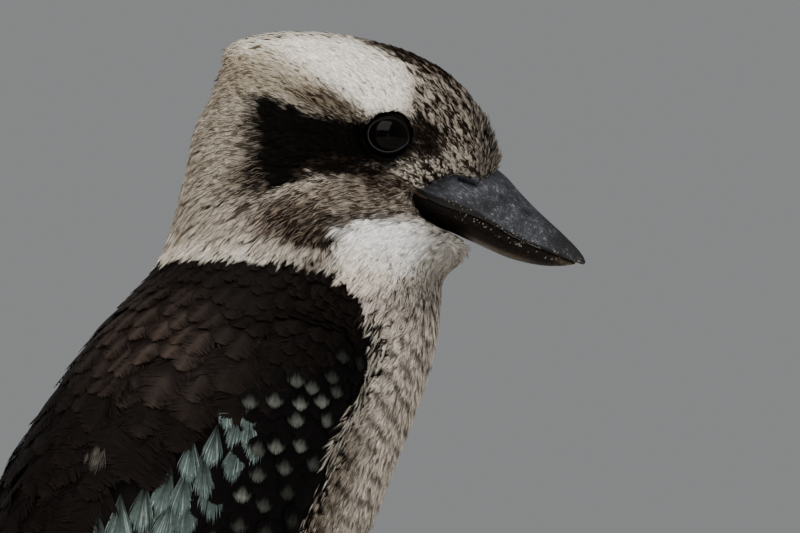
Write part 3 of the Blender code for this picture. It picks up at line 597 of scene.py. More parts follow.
def add_bill(node, rows, count, around, tuck, shape, material):
    """One half of the bill lofted through its rows, with its grooves pressed in, for its CAD node."""
    rings = []
    for x, z, edge_x, edge_z, wide in even_rows(rows, count):
        angle = np.linspace(-np.pi / 2, np.pi / 2, around)
        up = np.cos(angle) ** 1.05 * (1 + tuck) - tuck
        out = np.sign(np.sin(angle)) * np.abs(np.sin(angle)) ** 0.92
        outer = np.stack([edge_x + (x - edge_x) * up, wide * out, edge_z + (z - edge_z) * up], axis=1)
        inner = outer[:0:-1][: around - 2] * (1, 0.86, 1)
        hollow = 0.12 - tuck - 0.1 * (inner[:, 1] / max(wide, 0.1)) ** 2
        inner[:, 0], inner[:, 2] = edge_x + (x - edge_x) * hollow, edge_z + (z - edge_z) * hollow
        rings.append(np.concatenate([outer, inner]))
    ring = len(rings[0])
    points = (np.concatenate(rings) + (0, MIDDLE[1] / MM, 0)) * MM
    mesh = mesh_from(node, points, tube_faces(count, ring), material)
    tidy = bmesh.new()
    tidy.from_mesh(mesh)
    bmesh.ops.recalc_face_normals(tidy, faces=tidy.faces)
    tidy.to_mesh(mesh)
    tidy.free()
    points, normals = points_of(mesh), normals_of(mesh)
    press, marks = shape(points / MM, normals)
    points -= normals * press[:, None] * MM
    mesh.vertices.foreach_set("co", points.ravel())
    store_colour(mesh, np.clip(marks, 0, 1))
    add_piece(node + "_sheath", mesh, node, node)
    return mesh


def dip(distance, width):
    """1 at no distance, falling softly to 0 beyond the width."""
    return np.exp(-((distance / width) ** 2))


def edge_height(p, rows):
    """How far points of the bill are above the line where its halves meet, in mm."""
    line = even_rows(rows, 60)
    return (p[:, 2] - np.interp(p[:, 0], line[:, 2], line[:, 3])) * 0.92


def upper_shape(p, normals):
    """Nostril slit and its groove, growth ridges, the rim of the edge; and streak, dust and shade."""
    x, z = p[:, 0], p[:, 2]
    side = smooth((np.abs(normals[:, 1]) - 0.3) / 0.3)
    along = (x - NOSTRIL[0]) * 0.94 - (z - NOSTRIL[1]) * 0.34
    across = (x - NOSTRIL[0]) * 0.34 + (z - NOSTRIL[1]) * 0.94
    slit = dip(np.maximum(np.abs(along) - 2.3, 0), 0.8) * dip(across, 0.62)
    groove = 0.34 * dip(across + 0.02 * along, 0.9) * smooth(along / 3) * smooth((19 - along) / 12)
    brow = -0.25 * dip(across - 1.5, 0.8) * smooth((along + 4) / 4) * smooth((12 - along) / 10)
    ridges = 0.05 * np.sin(across * 4.2 + 0.5 * np.sin(along * 0.35)) * smooth((76 - x) / 6)
    height = edge_height(p, UPPER_BILL)
    wedge = 0.9 + 1.1 * dip(x - 68, 9)
    step = 0.28 * smooth((wedge - height) / 0.5) * smooth((98 - x) / 10)
    rim = -0.14 * dip(height - 0.18, 0.16)
    chips = 0.1 * smooth((np.sin(x * 3.1) * np.sin(x * 1.7 + 1) - 0.55) / 0.3) * dip(height, 0.6)
    pale = dip(height - 0.18, 0.14) * smooth((80 - x) / 12)
    dust = 0.42 * dip(height - 0.7 * wedge, 1.0) * smooth((x - 58) / 12) + 0.12 * smooth((height - 2) / 3)
    shade = np.maximum(slit, smooth((wedge - height) / 0.4) * smooth((104 - x) / 8) * (1 - pale))
    shade = np.maximum(shade, 0.75 * smooth((x - 88) / 12))
    marks = np.stack([0.8 * pale, dust, shade], axis=1)
    return side * (1.5 * slit + groove + brow + ridges) + step + rim + chips, marks


def lower_shape(p, normals):
    """The groove above the lower edge and growth ridges; and the pale streak, dust and shade."""
    x, z = p[:, 0], p[:, 2]
    side = smooth((np.abs(normals[:, 1]) - 0.3) / 0.3)
    line = even_rows(LOWER_BILL, 60)
    low = (z - np.interp(x, line[:, 0], line[:, 1])) * 0.92
    height = -edge_height(p, LOWER_BILL)
    groove = 0.2 * dip(low - 2.4, 0.6) * smooth((x - 62) / 6) * smooth((94 - x) / 12)
    ridges = 0.04 * np.sin(low * 4.6)
    streak = dip(low - 0.7, 0.6) * smooth((x - 66) / 8) * smooth((92 - x) / 9)
    streak = streak + 0.8 * dip(x - 98, 3.0) * dip(height - 1.4, 0.7)
    dust = 0.42 * dip(height - 1.0, 1.3) * smooth((x - 60) / 14)
    shade = smooth((0.7 - height) / 0.5) + 0.55 * smooth((height - 1.5) / 2) * smooth((low - 2.2) / 1.5)
    return side * (groove + ridges), np.stack([0.8 * streak, dust, shade], axis=1)


upper_horn = horn("slate_black_horn", "#17181d", "#393b41", "#8f9199", 0.4, "#5d5044")
lower_horn = horn("brown_black_horn", "#070403", "#110a07", "#2a211b", 0.08, "#4d4033")
upper_mesh = add_bill("bill_upper", UPPER_BILL, 200, 96, 0.03, upper_shape, upper_horn)
lower_mesh = add_bill("bill_lower", LOWER_BILL, 180, 72, -0.02, lower_shape, lower_horn)

# A fold of bare brown skin carries the line of the mouth back from the bill to under the eye.
bill_trees = tree_of(upper_mesh), tree_of(lower_mesh)
GAPE = ((50.7, 301.9), (51.8, 301.0), (53.4, 299.7), (55.0, 298.3), (56.6, 297.0), (58.5, 295.6),
    (60.7, 294.6))
gape_rows = even_rows(GAPE, 26)
gape_points = []
for number, (x, z) in enumerate(gape_rows):
    start = Vector((x * MM, -0.3, z * MM))
    hits = [tree.ray_cast(start, Vector((0, 1, 0)))[0] for tree in (form_tree, *bill_trees)]
    hit = np.array(min((h for h in hits if h), key=lambda h: h.y))
    size = 0.5 * smooth(number / 9) + 0.05
    for step in range(8):
        angle = 2 * math.pi * step / 8
        gape_points.append(hit + np.array([0.3 * math.cos(angle), -math.sin(angle),
            0.6 * math.cos(angle)]) * size * MM)
gape_points = np.array(gape_points)
gape_faces = tube_faces(len(gape_rows), 8)
gape_skin = bare_skin("bare_gape_skin")
for side in ("right", "left"):
    if side == "left":
        gape_points, gape_faces = mirror_image(gape_points, gape_faces)
    gape_mesh = mesh_from("gape_fold_" + side, gape_points, gape_faces, gape_skin)
    store_colour(gape_mesh, np.tile(linear("#4a3c31"), (len(gape_points), 1)))
    add_piece("gape_fold_" + side, gape_mesh, "bill_upper")


# FEATHERS OF THE HEAD
# Hundreds of small soft feathers, each a quill with loose barbs that fan out like fine hair, so the
# head looks furred. They grow back from the bill and are shortest and closest round it and the eyes.

rng = np.random.default_rng(7)  # the one source of chance for every feather

# The lie of the feathers seen from the right: x and z in mm, and which way they point in degrees,
# 0 towards the bill, 90 up, 180 back, 270 down.
LIE = ((80.4, 302.1, 115), (76.4, 315.6, 120), (68.2, 325.1, 135), (58.8, 331.8, 150), (48.0, 335.9, 162),
    (34.5, 338.3, 172), (21.0, 338.8, 180), (10.2, 337.2, 190), (3.5, 330.5, 215), (0.2, 321.0, 240),
    (64.2, 312.9, 125), (58.8, 321.0, 132), (48.0, 323.7, 140), (37.2, 326.4, 145), (31.3, 326.2, 142),
    (26.4, 329.1, 150), (15.6, 331.8, 160), (7.5, 326.4, 185), (39.9, 317.0, 147), (23.7, 321.0, 152),
    (12.9, 321.0, 170), (6.2, 315.6, 185), (0.8, 310.2, 205), (10.2, 310.2, 180), (-0.6, 304.8, 205),
    (8.9, 299.4, 195), (-3.3, 296.7, 215), (15.6, 296.7, 200), (-4.6, 288.6, 225), (4.8, 288.6, 225),
    (12.9, 287.3, 225), (23.7, 290.0, 218), (31.8, 290.0, 220), (-6.0, 280.5, 235), (7.5, 280.5, 238),
    (21.0, 280.0, 240), (29.1, 280.5, 242), (34.5, 283.2, 250), (42.6, 307.5, 185), (29.1, 307.5, 182),
    (21.0, 304.8, 190), (37.2, 303.5, 170), (53.4, 303.5, 172), (61.5, 304.8, 132), (61.5, 300.0, 132),
    (66.9, 301.6, 124), (57.2, 301.6, 140), (58.8, 294.0, 190), (53.4, 294.0, 195), (45.3, 296.7, 175),
    (34.5, 296.7, 190), (29.1, 292.7, 205), (23.7, 292.7, 215), (48.0, 290.8, 178), (37.2, 291.3, 185),
    (64.2, 288.6, 200), (64.2, 284.6, 200), (53.4, 284.6, 200), (42.6, 283.2, 225), (38.6, 277.8, 245),
    (53.4, 277.8, 230), (66.9, 279.2, 225), (64.2, 273.8, 236), (53.4, 271.1, 232), (71.0, 284.6, 200),
    (58.8, 269.7, 236), (48.0, 269.7, 226), (39.9, 269.7, 222), (61.5, 258.9, 240), (53.9, 260.0, 226),
    (50.2, 256.8, 212), (55.6, 253.5, 228), (49.1, 250.3, 204), (46.9, 244.3, 206), (64.2, 267.0, 244),
    (40.4, 244.1, 205), (39.9, 240.0, 208), (45.8, 237.9, 214), (37.2, 233.0, 210), (42.1, 230.3, 218),
    (34.5, 223.8, 216), (39.4, 222.2, 224), (52.3, 240.0, 228), (58.8, 245.4, 238), (42.6, 221.1, 232),
    (50.7, 221.1, 238), (37.2, 207.6, 232), (45.3, 207.6, 236), (30, 190, 240), (10, 170, 232),
    (-5, 155, 228), (-25, 140, 222), (-45, 125, 225), (-65, 100, 238), (5, 155, 262), (-8, 150, 262),
    (-0.6, 272.4, 222), (-14.1, 261.6, 232), (12.9, 269.7, 228), (26.4, 269.7, 235), (34.5, 261.6, 256),
    (26.4, 253.5, 256), (12.9, 256.2, 250), (-0.6, 253.5, 245), (-24.9, 251.9, 240), (-11.4, 236.2, 256),
    (-38.4, 234.6, 245), (4.8, 240.0, 254), (18.3, 234.6, 256), (31.8, 240.0, 258), (-0.6, 218.4, 252),
    (-27.6, 218.4, 247), (-46.5, 218.4, 248), (15.6, 213.0, 256), (26.4, 218.4, 257), (-40, 190, 250),
    (0, 190, 246), (-60, 160, 252), (-30, 160, 238), (-62, 130, 250), (-74, 110, 252), (-85, 80, 247),
    (-55, 215, 250), (-30, 250, 232))


def lie(points, normals):
    """Which way the feathers lie at points of the coat's surface."""
    seen, across = right_side(points)
    guides = np.array(LIE)
    x, z = seen[:, :1] / MM, seen[:, 2:] / MM
    near = 1 / ((x - guides[:, 0]) ** 2 + (z - guides[:, 1]) ** 2 + 6) ** 1.6
    angle = np.radians(guides[:, 2])
    way = unit(np.stack([near @ np.cos(angle), np.zeros(len(points)), near @ np.sin(angle)], axis=1))
    way -= 2 * (way * across).sum(1, keepdims=True) * across
    # Seen from the side, the feathers keep these angles where the surface turns to the front or back.
    facing = normals[:, 1]
    way[:, 1] -= (way * normals).sum(1) * facing / (facing**2 + 0.25)
    way -= (way * normals).sum(1, keepdims=True) * normals
    return unit(way)


form_corners, form_points = corners_of(form), points_of(form)
face_normals = unit(normals_of(form)[form_corners].sum(1))


def settle(points):
    """The nearest points of the coat's surface, and its normals there."""
    found = [form_tree.find_nearest(p) for p in points.tolist()]
    places = np.array([hit[0] for hit in found])
    return places, face_normals[[hit[2] for hit in found]]


def nearest_tree(points):
    """A tree that finds the nearest of these points."""
    tree = KDTree(len(points))
    for index, point in enumerate(points.tolist()):
        tree.insert(point, index)
    tree.balance()
    return tree


def scatter(spacing, spare=4.5):
    """Roots all over the coat's surface, no two closer than the spacing there in mm (0 for none)."""
    corners = form_points[form_corners]
    area = np.linalg.norm(np.cross(corners[:, 1] - corners[:, 0], corners[:, 2] - corners[:, 0]),
        axis=1) / 2
    gap = spacing(corners.mean(1))
    share = np.where(gap > 0, area / np.maximum(gap * MM, 1e-5) ** 2, 0)
    picks = rng.choice(len(area), int(spare * share.sum()), p=share / share.sum())
    first, second = rng.random((2, len(picks), 1))
    flip = first + second > 1
    first, second = np.where(flip, 1 - first, first), np.where(flip, 1 - second, second)
    tri = corners[picks]
    points = tri[:, 0] + first * (tri[:, 1] - tri[:, 0]) + second * (tri[:, 2] - tri[:, 0])
    gaps = spacing(points) * MM
    tree = nearest_tree(points)
    taken, kept = bytearray(len(points)), []
    for index, (point, reach) in enumerate(zip(points.tolist(), gaps.tolist())):
        if taken[index] or reach <= 0:
            continue
        kept.append(index)
        for _, other, _ in tree.find_range(point, reach):
            taken[other] = 1
    return points[kept], face_normals[picks][kept]


def walk(points, normals, length, steps, turn, way=None):
    """Each feather's quill, walked over the coat's surface along the lie of the feathers, or this way."""
    path, ups = [points], [normals]
    for _ in range(steps):
        up = ups[-1]
        ahead = lie(path[-1], up) if way is None else unit(way - (way * up).sum(1, keepdims=True) * up)
        ahead = ahead * np.cos(turn)[:, None] + np.cross(up, ahead) * np.sin(turn)[:, None]
        place, up = settle(path[-1] + ahead * (length / steps)[:, None])
        path.append(place)
        ups.append(up)
    return np.stack(path, axis=1), np.stack(ups, axis=1)


def sighted(marks, fallback=None):
    """Places on the coat's right side under marks (x, z in mm) seen from the right.

    A mark beside the coat takes the nearest place to it, at the depth of the fallback's places.
    """
    places, directions = [], []
    for number, (x, z) in enumerate(marks):
        hit = form_tree.ray_cast(Vector((x * MM, -0.3, z * MM)), Vector((0, 1, 0)))
        if hit[0] is None:
            depth = EYE[1] if fallback is None else fallback[number][1]
            hit = form_tree.find_nearest(Vector((x * MM, depth, z * MM)))
        places.append(hit[0])
        directions.append(face_normals[hit[2]])
    return np.array(places), np.array(directions)


def spray(count, reach, round_off=0.35):
    """Loose barbs that fan out towards the tip: where each starts and ends, and how far out."""
    across = np.linspace(-1, 1, count)
    end = 1 - round_off * np.abs(across) ** 1.6
    return np.clip(end - reach, 0.03, 1), end, across


def vane(pairs, reach, bare=0.06, shoulder=0.62, blunt=2.0):
    """Close barbs of a flat blade with a rounded tip, in pairs up the quill."""
    start = bare + (1 - bare) * (np.arange(pairs) + 0.5) / pairs
    end = start + (1 - start) * reach
    edge = np.clip((end - shoulder) / (1 - shoulder), 0, 1)
    across = np.sqrt(np.clip(end / 0.2, 0, 1)) * (1 - edge**blunt) ** 0.5
    return np.tile(start, 2), np.tile(end, 2), np.concatenate([across, -across])


SPINE = np.array([(-99, 29), (-72, 92), (-47, 152), (-20, 190), (8, 235), (22, 275), (36, 305), (62, 308)])
PATCH = 0.003  # size of one feather's patch on the coat's map


def unrolled(points):
    """Places on a flat unrolling of the bird's skin: round the body, and along it from tail to bill."""
    seen, across = right_side(points)
    flat = seen[:, [0, 2]] / MM
    best, along, offset, gone = np.full(len(points), 1e9), np.zeros(len(points)), np.zeros(len(points)), 0.0
    for start, end in zip(SPINE[:-1], SPINE[1:]):
        step = end - start
        size = np.hypot(*step)
        t = np.clip(((flat - start) @ step) / size**2, 0, 1)
        gap = flat - start - t[:, None] * step
        far = np.hypot(gap[:, 0], gap[:, 1])
        closer = far < best
        best = np.where(closer, far, best)
        along = np.where(closer, gone + t * size, along)
        offset = np.where(closer, np.sign(step[0] * gap[:, 1] - step[1] * gap[:, 0]) * far, offset)
        gone += size
    deep = np.abs(seen[:, 1] / MM - MIDDLE[1] / MM) + 0.5
    left = np.abs(across).sum(1) > 0
    around = np.arctan2(deep, offset) / (2 * np.pi)
    return np.stack([0.5 + np.where(left, around, -around), along / gone], axis=1)


def grow(path, ups, half_width, plan, thick, depth, lift, cup, loose=0.06, tilt=0.3, bend=0.62, keel=0.55,
    knee=0.55):
    """Barbs of many feathers, each a thin tapering strip of five points over the quill's path.

    The plan is the same for all feathers. Thickness, depth of the root under the coat's surface,
    lift of the tip and cup of the blade are in mm, each one number or one for each feather. A loose
    barb is folded along its middle, by the keel's share of its half width; a blade's barbs are flat.
    The knee is how far along a barb it is widest, and the bend how far out it is there.
    """
    count, barbs = len(path), len(plan[0])
    start, end, across = (np.broadcast_to(p, (count, barbs)) for p in plan)
    end = np.clip(end + loose * rng.normal(size=end.shape) * (end - start), start + 0.02, 1.06)
    across = across + loose * 1.4 * rng.normal(size=across.shape)
    a = np.stack([start, start + knee * (end - start), end], axis=2)
    b = np.stack([0 * across, bend * across, across], axis=2)
    steps = path.shape[1] - 1
    low = np.clip(np.floor(a * steps).astype(int), 0, steps - 1)
    mix = (a * steps - low)[..., None]
    row = np.arange(count)[:, None, None]
    place = path[row, low] * (1 - mix) + path[row, low + 1] * mix
    up = unit(ups[row, low] * (1 - mix) + ups[row, low + 1] * mix)
    side = np.cross(up, unit(path[row, low + 1] - path[row, low]))
    each = [np.broadcast_to(np.asarray(v, float), (count,))[:, None, None] for v in (depth, lift, cup)]
    high = each[1] * a**1.5 - each[0] * np.clip(1 - a, 0, 1) ** 1.3 - each[2] * b * b
    high = high + 0.1 * each[0] * rng.normal(size=(count, barbs, 1)) * (1 - a) * (keel > 0)
    reach = np.broadcast_to(half_width, (count,))[:, None, None]
    place = place + side * (b * reach)[..., None] + up * (high * MM)[..., None]
    slope = (2 * each[2] * b * MM / reach)[:, :, 1, None]
    middle = unit(up[:, :, 1] + side[:, :, 1] * slope)
    root, belly, tip = np.moveaxis(place, 2, 0)
    along = unit(tip - root)
    edge = np.cross(middle, along)
    wide = np.broadcast_to(np.asarray(thick, float) * MM, (count,))[:, None, None]
    if keel:
        edge = unit(edge + middle * tilt * rng.normal(size=(count, barbs, 1))) * wide
        ridge = belly + np.cross(along, unit(edge)) * wide * keel
        five = (root, belly - edge, ridge, belly + edge, tip)
    else:
        edge = unit(edge) * wide
        five = (root - 0.8 * edge, root + 0.8 * edge, belly - edge, belly + edge, tip)
    return {"points": np.stack(five, axis=2), "a": a, "b": b, "map": unrolled(path[:, 0])[:, None, None],
        "offset": np.stack([b * 0.5, a - 0.5], axis=3) * PATCH, "seat": path, "keeled": np.full(count,
        bool(keel))}


# Which corners make the faces of a folded strip and of a flat one, and the place along it of each point.
FOLDED = ((0, 1, 2), (0, 2, 3), (1, 4, 2), (2, 4, 3)), (0, 1, 1, 1, 2)
FLAT = ((0, 2, 3, 1), (2, 4, 3)), (0, 0, 1, 1, 2)


def coat_mesh(name, layers):
    """One mesh of the barbs of these layers, each with its colours (feather, barb, place, rgb)."""
    places, gathered, corners, begins, first, filled = [], ([], [], []), [], [], 0, 0
    for l in layers:
        faces, spread = FOLDED if l["keeled"][0] else FLAT
        spread = list(spread)
        strips = l["points"].shape[0] * l["points"].shape[1]
        chart = np.broadcast_to(l["map"], l["offset"].shape)
        for part, value in zip(gathered, (l["colour"], chart, l["offset"])):
            part.append(value[:, :, spread].reshape(-1, value.shape[-1]))
        places.append(l["points"].reshape(-1, 3))
        shape = np.concatenate([np.array(face) for face in faces])
        starts = np.cumsum([0] + [len(face) for face in faces[:-1]])
        corners.append((first + np.arange(strips)[:, None] * 5 + shape).ravel())
        begins.append((filled + np.arange(strips)[:, None] * len(shape) + starts).ravel())
        first += strips * 5
        filled += strips * len(shape)
    colour, centre, offset = (np.concatenate(part) for part in gathered)
    points, corners, begins = (np.concatenate(part) for part in (places, corners, begins))
    low, high = centre.min(0), centre.max(0)
    flat = np.clip(0.003 + 0.994 * (centre - low) / (high - low) + offset, 0, 1)
    mesh = bpy.data.meshes.new(name)
    mesh.vertices.add(len(points))
    mesh.vertices.foreach_set("co", points.ravel())
    mesh.loops.add(len(corners))
    mesh.loops.foreach_set("vertex_index", corners)
    mesh.polygons.add(len(begins))
    mesh.polygons.foreach_set("loop_start", begins)
    mesh.update(calc_edges=True)
    layer = mesh.uv_layers.new(name="OFBake")
    layer.data.foreach_set("uv", flat[corners].ravel())
    store_colour(mesh, np.clip(colour, 0, 1))
    return mesh


MOST_STRIPS = 48000  # a piece stays under 200,000 triangles, four to a folded strip


def add_coat(name, layers, material, slot, *replaced):
    """Adds a coat as one piece, or as several by its feathers' height where it has many barbs."""
    strips = sum(l["points"].shape[0] * l["points"].shape[1] for l in layers)
    parts = math.ceil(strips / MOST_STRIPS)
    heights = np.sort(np.concatenate([np.repeat(l["seat"][:, 0, 2], l["points"].shape[1]) for l in layers]))
    cuts = [-1.0] + [heights[len(heights) * part // parts] for part in range(1, parts)] + [1.0]
    for part in range(parts):
        share = []
        for l in layers:
            chosen = (l["seat"][:, 0, 2] >= cuts[part]) & (l["seat"][:, 0, 2] < cuts[part + 1])
            if chosen.any():
                share.append({key: value[chosen] for key, value in l.items()})
        label = name if parts == 1 else f"{name}_{part + 1}"
        mesh = coat_mesh(label, share)
        mesh.materials.append(material)
        add_piece(label, mesh, slot, *replaced)


def feather_barbs(name, rough, fine):
    """Feather barbs: keratin fibres, nearly matt, and uneven in shade and wear over this many mm."""
    material, add, place = new_material(name)
    noise = add("TexNoise", Vector=place, Scale=1 / (fine * MM), Detail=2.0)
    shade = add("MapRange", noise, 0.3, 0.7, 0.8, 1.16)
    mixed = add("VectorMath", add("Attribute", attribute_name="coat"), shade, operation="MULTIPLY")
    worn = add("MapRange", noise, 0.0, 1.0, rough - 0.08, rough + 0.1)
    return finish_material(material, Base_Color=mixed, Roughness=worn, Specular_IOR_Level=0.05)


def clear_of_bill(points, normals):
    """Which roots are off the bill, and not in the hollow that it fills."""
    kept = []
    for point, normal in zip(points.tolist(), normals.tolist()):
        start, way = Vector(point), Vector(normal)
        near = min(tree.find_nearest(start)[3] for tree in bill_trees)
        faced = any(tree.ray_cast(start - way * 0.001, way, 0.004)[0] for tree in bill_trees)
        kept.append(near > 0.08 * MM and not faced)
    return np.array(kept)


def clear_of_eye(path):
    """Which quills stay outside the eye's opening."""
    seen = right_side(path.reshape(-1, 3))[0].reshape(path.shape) / MM
    x, z = seen[..., 0] - EYE[0] / MM, seen[..., 2] - EYE[2] / MM
    return (np.hypot(x / 5.5, z / 4.75) > 1).all(axis=1)


def face_part(points):
    """1 on the short-feathered face, 0 away from it."""
    x, z = side_view(points)
    eye = np.hypot(x - EYE[0] / MM, z - EYE[2] / MM)
    base = np.hypot(x - 70, (z - 297) * 0.8)
    return np.maximum(smooth((34 - base) / 30), smooth((17 - eye) / 11))


def small_length(points):
    """Length in mm of the small feathers at points of the head."""
    x, z = side_view(points)
    face = face_part(points)
    length = np.interp(z, (235, 262, 285, 300, 320, 340), (8.5, 8.0, 6.4, 5.2, 4.6, 4.2))
    length = length + 1.4 * smooth((8 - x) / 14) * (z > 270)
    brow = inside([(51.2, 337.2), (66.9, 331.8), (80.4, 318.3), (81.8, 307.5), (64.2, 307.5),
        (56.6, 318.3)], x, z, 12)
    throat = inside([(36.7, 289.7), (64.2, 290.2), (73.7, 285.4), (68.2, 271.1), (38.6, 271.1)], x, z, 8)
    length = length * (1 - 0.56 * face) * (1 - brow) + brow * 3.3
    return length * (1 - throat) + throat * (4.6 + 2.4 * smooth((74 - x) / 20))


CHIN = [(36.7, 288.1), (57.2, 289.7), (73.7, 285.4), (68.2, 271.1), (38.6, 272.4)]


def head_spacing(points):
    """Room in mm between the roots of the head's feathers."""
    x, z = side_view(points)
    gap = (0.2 * small_length(points) + 0.03) * (1 - 0.22 * inside(CHIN, x, z, 5))
    lid = np.hypot((x - EYE[0] / MM) / 6.3, (z - EYE[2] / MM) / 5.5)
    return np.where((z < 262) | (on_back(points, 0.5) > 0.5) | (lid < 1), 0, gap)


def clumps(path):
    """A number from 0 to 1 for each feather, shared by feathers in one streak along their lie.

    Streaks that lie side by side get unlike numbers, so pale and dark ones take turns.
    """
    middle, way = path[:, -1], unit(path[:, -1] - path[:, 0])
    chosen = rng.choice(len(path), max(len(path) // 2, 1), replace=False)
    tree = nearest_tree(middle[chosen])
    near = np.array([[hit[1] for hit in tree.find_n(point, 20)] for point in middle.tolist()])
    gap = middle[chosen][near] - middle[:, None]
    along = (gap * way[:, None]).sum(2)
    far = (gap**2).sum(2)
    value = rng.random(len(chosen))
    beside = near[chosen, 1:10]
    weight = 0.6 - along[chosen, 1:10] ** 2 / (far[chosen, 1:10] + 1e-12)
    for _ in range(3):
        value = value - 0.25 * ((value[beside] - 0.5) * weight).sum(1)
        value = value.argsort().argsort() / len(value)
    return value[near[np.arange(len(path)), (far - 0.98 * along**2).argmin(1)]]


def barb_colour(layer, root, tip, dull=0.72, vary=0.12, streak=0.5):
    """Colours of small feathers' barbs, pale or dark by the pattern, one by one or a feather as one, and
    darkened towards their roots as painted shade.
    """
    count, barbs = layer["a"].shape[:2]
    at_root, at_tip = markings(root), markings(tip)
    share = at_tip[2][:, None]
    centre = np.exp(-((layer["b"][:, :, 2] / 0.45) ** 2))
    odds = np.clip(share + streak * (centre - 0.45) * share * 1.6, 0, 1)
    clump = clumps(layer["seat"])[:, None]
    as_one = rng.random((count, 1)) < at_tip[4][:, None]
    dark = np.where(as_one, clump < share, rng.random((count, barbs)) < odds)
    mix = np.clip(layer["a"][..., None], 0, 1)
    mix = np.where(rng.random((count, barbs, 1, 1)) < 0.3, 0.2 * mix, mix)  # some keep their root's colour
    pale = at_root[0][:, None, None] * (1 - mix) + at_tip[0][:, None, None] * mix
    deep = at_root[1][:, None, None] * (1 - mix) + at_tip[1][:, None, None] * mix
    colour = np.where(dark[:, :, None, None], deep, pale)
    tone = 1 + 0.5 * vary * rng.normal(size=(count, 1)) + 1.2 * vary * rng.normal(size=(count, barbs))
    # Painted shade: dull is how dark a barb is at its root, lighter on white feathers, rising to full
    # colour near the tip.
    white = smooth((pale[:, :1, :1, 1] - 0.45) / 0.35)
    dull = dull + (0.93 - dull) * white
    shade = dull + (1 - dull) * smooth(layer["a"] * 1.25)
    return colour * (np.clip(tone, 0.45, 1.7)[:, :, None] * shade)[..., None]


roots, ups = scatter(head_spacing)
clear = clear_of_bill(roots, ups)
roots, ups = roots[clear], ups[clear]
seen = right_side(roots)[0]
length = small_length(seen) * (1 + 0.14 * rng.normal(size=len(roots))) * MM
path, ups = walk(roots, ups, length, 2, 0.14 * rng.normal(size=len(roots)))
clear = clear_of_eye(path)
path, ups, length, seen = path[clear], ups[clear], length[clear], seen[clear]
face, (x, z) = face_part(seen), side_view(seen)
streaky = (markings(path[:, 0])[4] > 0.8).astype(float)
white = inside(CHIN, x, z, 3)
ruffled = inside([(-6.0, 345.3), (11.3, 345.3), (9.7, 326.4), (0.8, 310.2), (-6.0, 312.9)], x, z, 8)
ruffled *= np.abs(rng.normal(0, 0.75, len(path)))
brow = inside([(73.4, 315.6), (88.5, 315.6), (88.5, 296.7), (73.9, 298.3), (75.5, 307.5)], x, z, 5)
ruffled += brow * rng.uniform(0.9, 2.0, len(path))
layer = grow(path, ups, length * (0.21 - 0.07 * streaky), spray(15, 0.68),
    0.09 + 0.03 * (1 - face) + 0.05 * white, coat_depth(path[:, 0]) / MM * (0.6 - 0.2 * white),
    rng.normal(0.1, 0.14, len(path)) * (1 - 0.5 * face) * (1 - 0.6 * white) + ruffled, 0.15)
layer["colour"] = barb_colour(layer, path[:, 0], path[:, 2], dull=0.78, vary=0.1)
scales = inside([(53.9, 304.3), (64.2, 304.3), (69.6, 300.0), (64.2, 297.3), (59.9, 295.6), (55.0, 297.3)],
    x, z, 2)
edge_only = 0.12 + 0.88 * smooth((layer["a"] - 0.5) / 0.2)
layer["colour"] *= (1 - scales[:, None, None] * (1 - edge_only))[..., None]
soft_barbs = feather_barbs("soft_feather_barbs", 0.75, 0.9)


def heading(angle, aside=0.0):
    """The way at an angle seen from the right, as in LIE."""
    return np.stack([np.cos(angle), 0 * angle + aside, np.sin(angle)], axis=1)


# The chin's longest feathers curl forward round the under side of the bill.
start = np.array([(65.8, 283.2), (72.3, 281.6)])
marks = start[0] + rng.random((70, 1)) * (start[1] - start[0]) + rng.normal(0, 0.7, (70, 2)) - (0, 0.8)
seats, tops = sighted(marks)
angle = np.radians(rng.uniform(-75, -15, 70))
way = heading(angle, rng.normal(0, 0.15, 70))
length = rng.uniform(3.0, 5.5, 70) * MM
path, ups = walk(seats, tops, length, 3, 0 * length, way)
path = np.concatenate([path, left_eye(path)])
ups = np.concatenate([ups, ups * (1, -1, 1)])
curl = np.tile(rng.uniform(0.5, 1.6, 70), 2)
chin = grow(path, ups, np.tile(length, 2) * 0.2, spray(9, 0.8), 0.07, 0.8, curl, 0.1, loose=0.14)
chin["colour"] = barb_colour(chin, path[:, 0], path[:, 0], dull=0.85, vary=0.1)


COLLAR = [(-15.2, 283.2), (-9.8, 283.0), (-3.3, 282.1), (3.5, 281.9), (12.9, 281.6), (23.7, 281.1),
    (32.3, 280.0), (38.6, 278.4), (42.1, 274.0), (40.4, 271.9), (37.2, 275.7), (31.3, 277.3), (23.7, 278.6),
    (12.9, 279.2), (3.5, 279.4), (-3.3, 279.7), (-9.8, 280.3), (-15.2, 280.5)]


def collar_spacing(points):
    """Room in mm between the roots of the collar's loose ends."""
    return np.where(inside(COLLAR, *side_view(points), 0.5) > 0.5, 0.8, 0)


# Fine loose ends of the collar hang over the first dark feathers of the back.
roots, ups = scatter(collar_spacing)
length = rng.uniform(2.6, 5.2, len(roots)) * MM
path, ups = walk(roots, ups, length, 3, 0.25 * rng.normal(size=len(roots)))
collar = grow(path, ups, length * 0.14, spray(7, 0.85), 0.06, 0.6, rng.uniform(0.1, 0.45, len(roots)), 0.1,
    loose=0.08)
collar["colour"] = barb_colour(collar, path[:, 0], path[:, 0], dull=0.9, vary=0.14)
add_coat("head_feathers", [layer, chin, collar], soft_barbs, "feather_head")

# FEATHERS OF THE BREAST, BELLY AND THIGHS
# Long, soft, open feathers that lie like combed fur. They're buff-grey, crossed by broken wavy bars of
# brown where each feather's tip is dark, and their loose ends lap over the front edge of the wings.


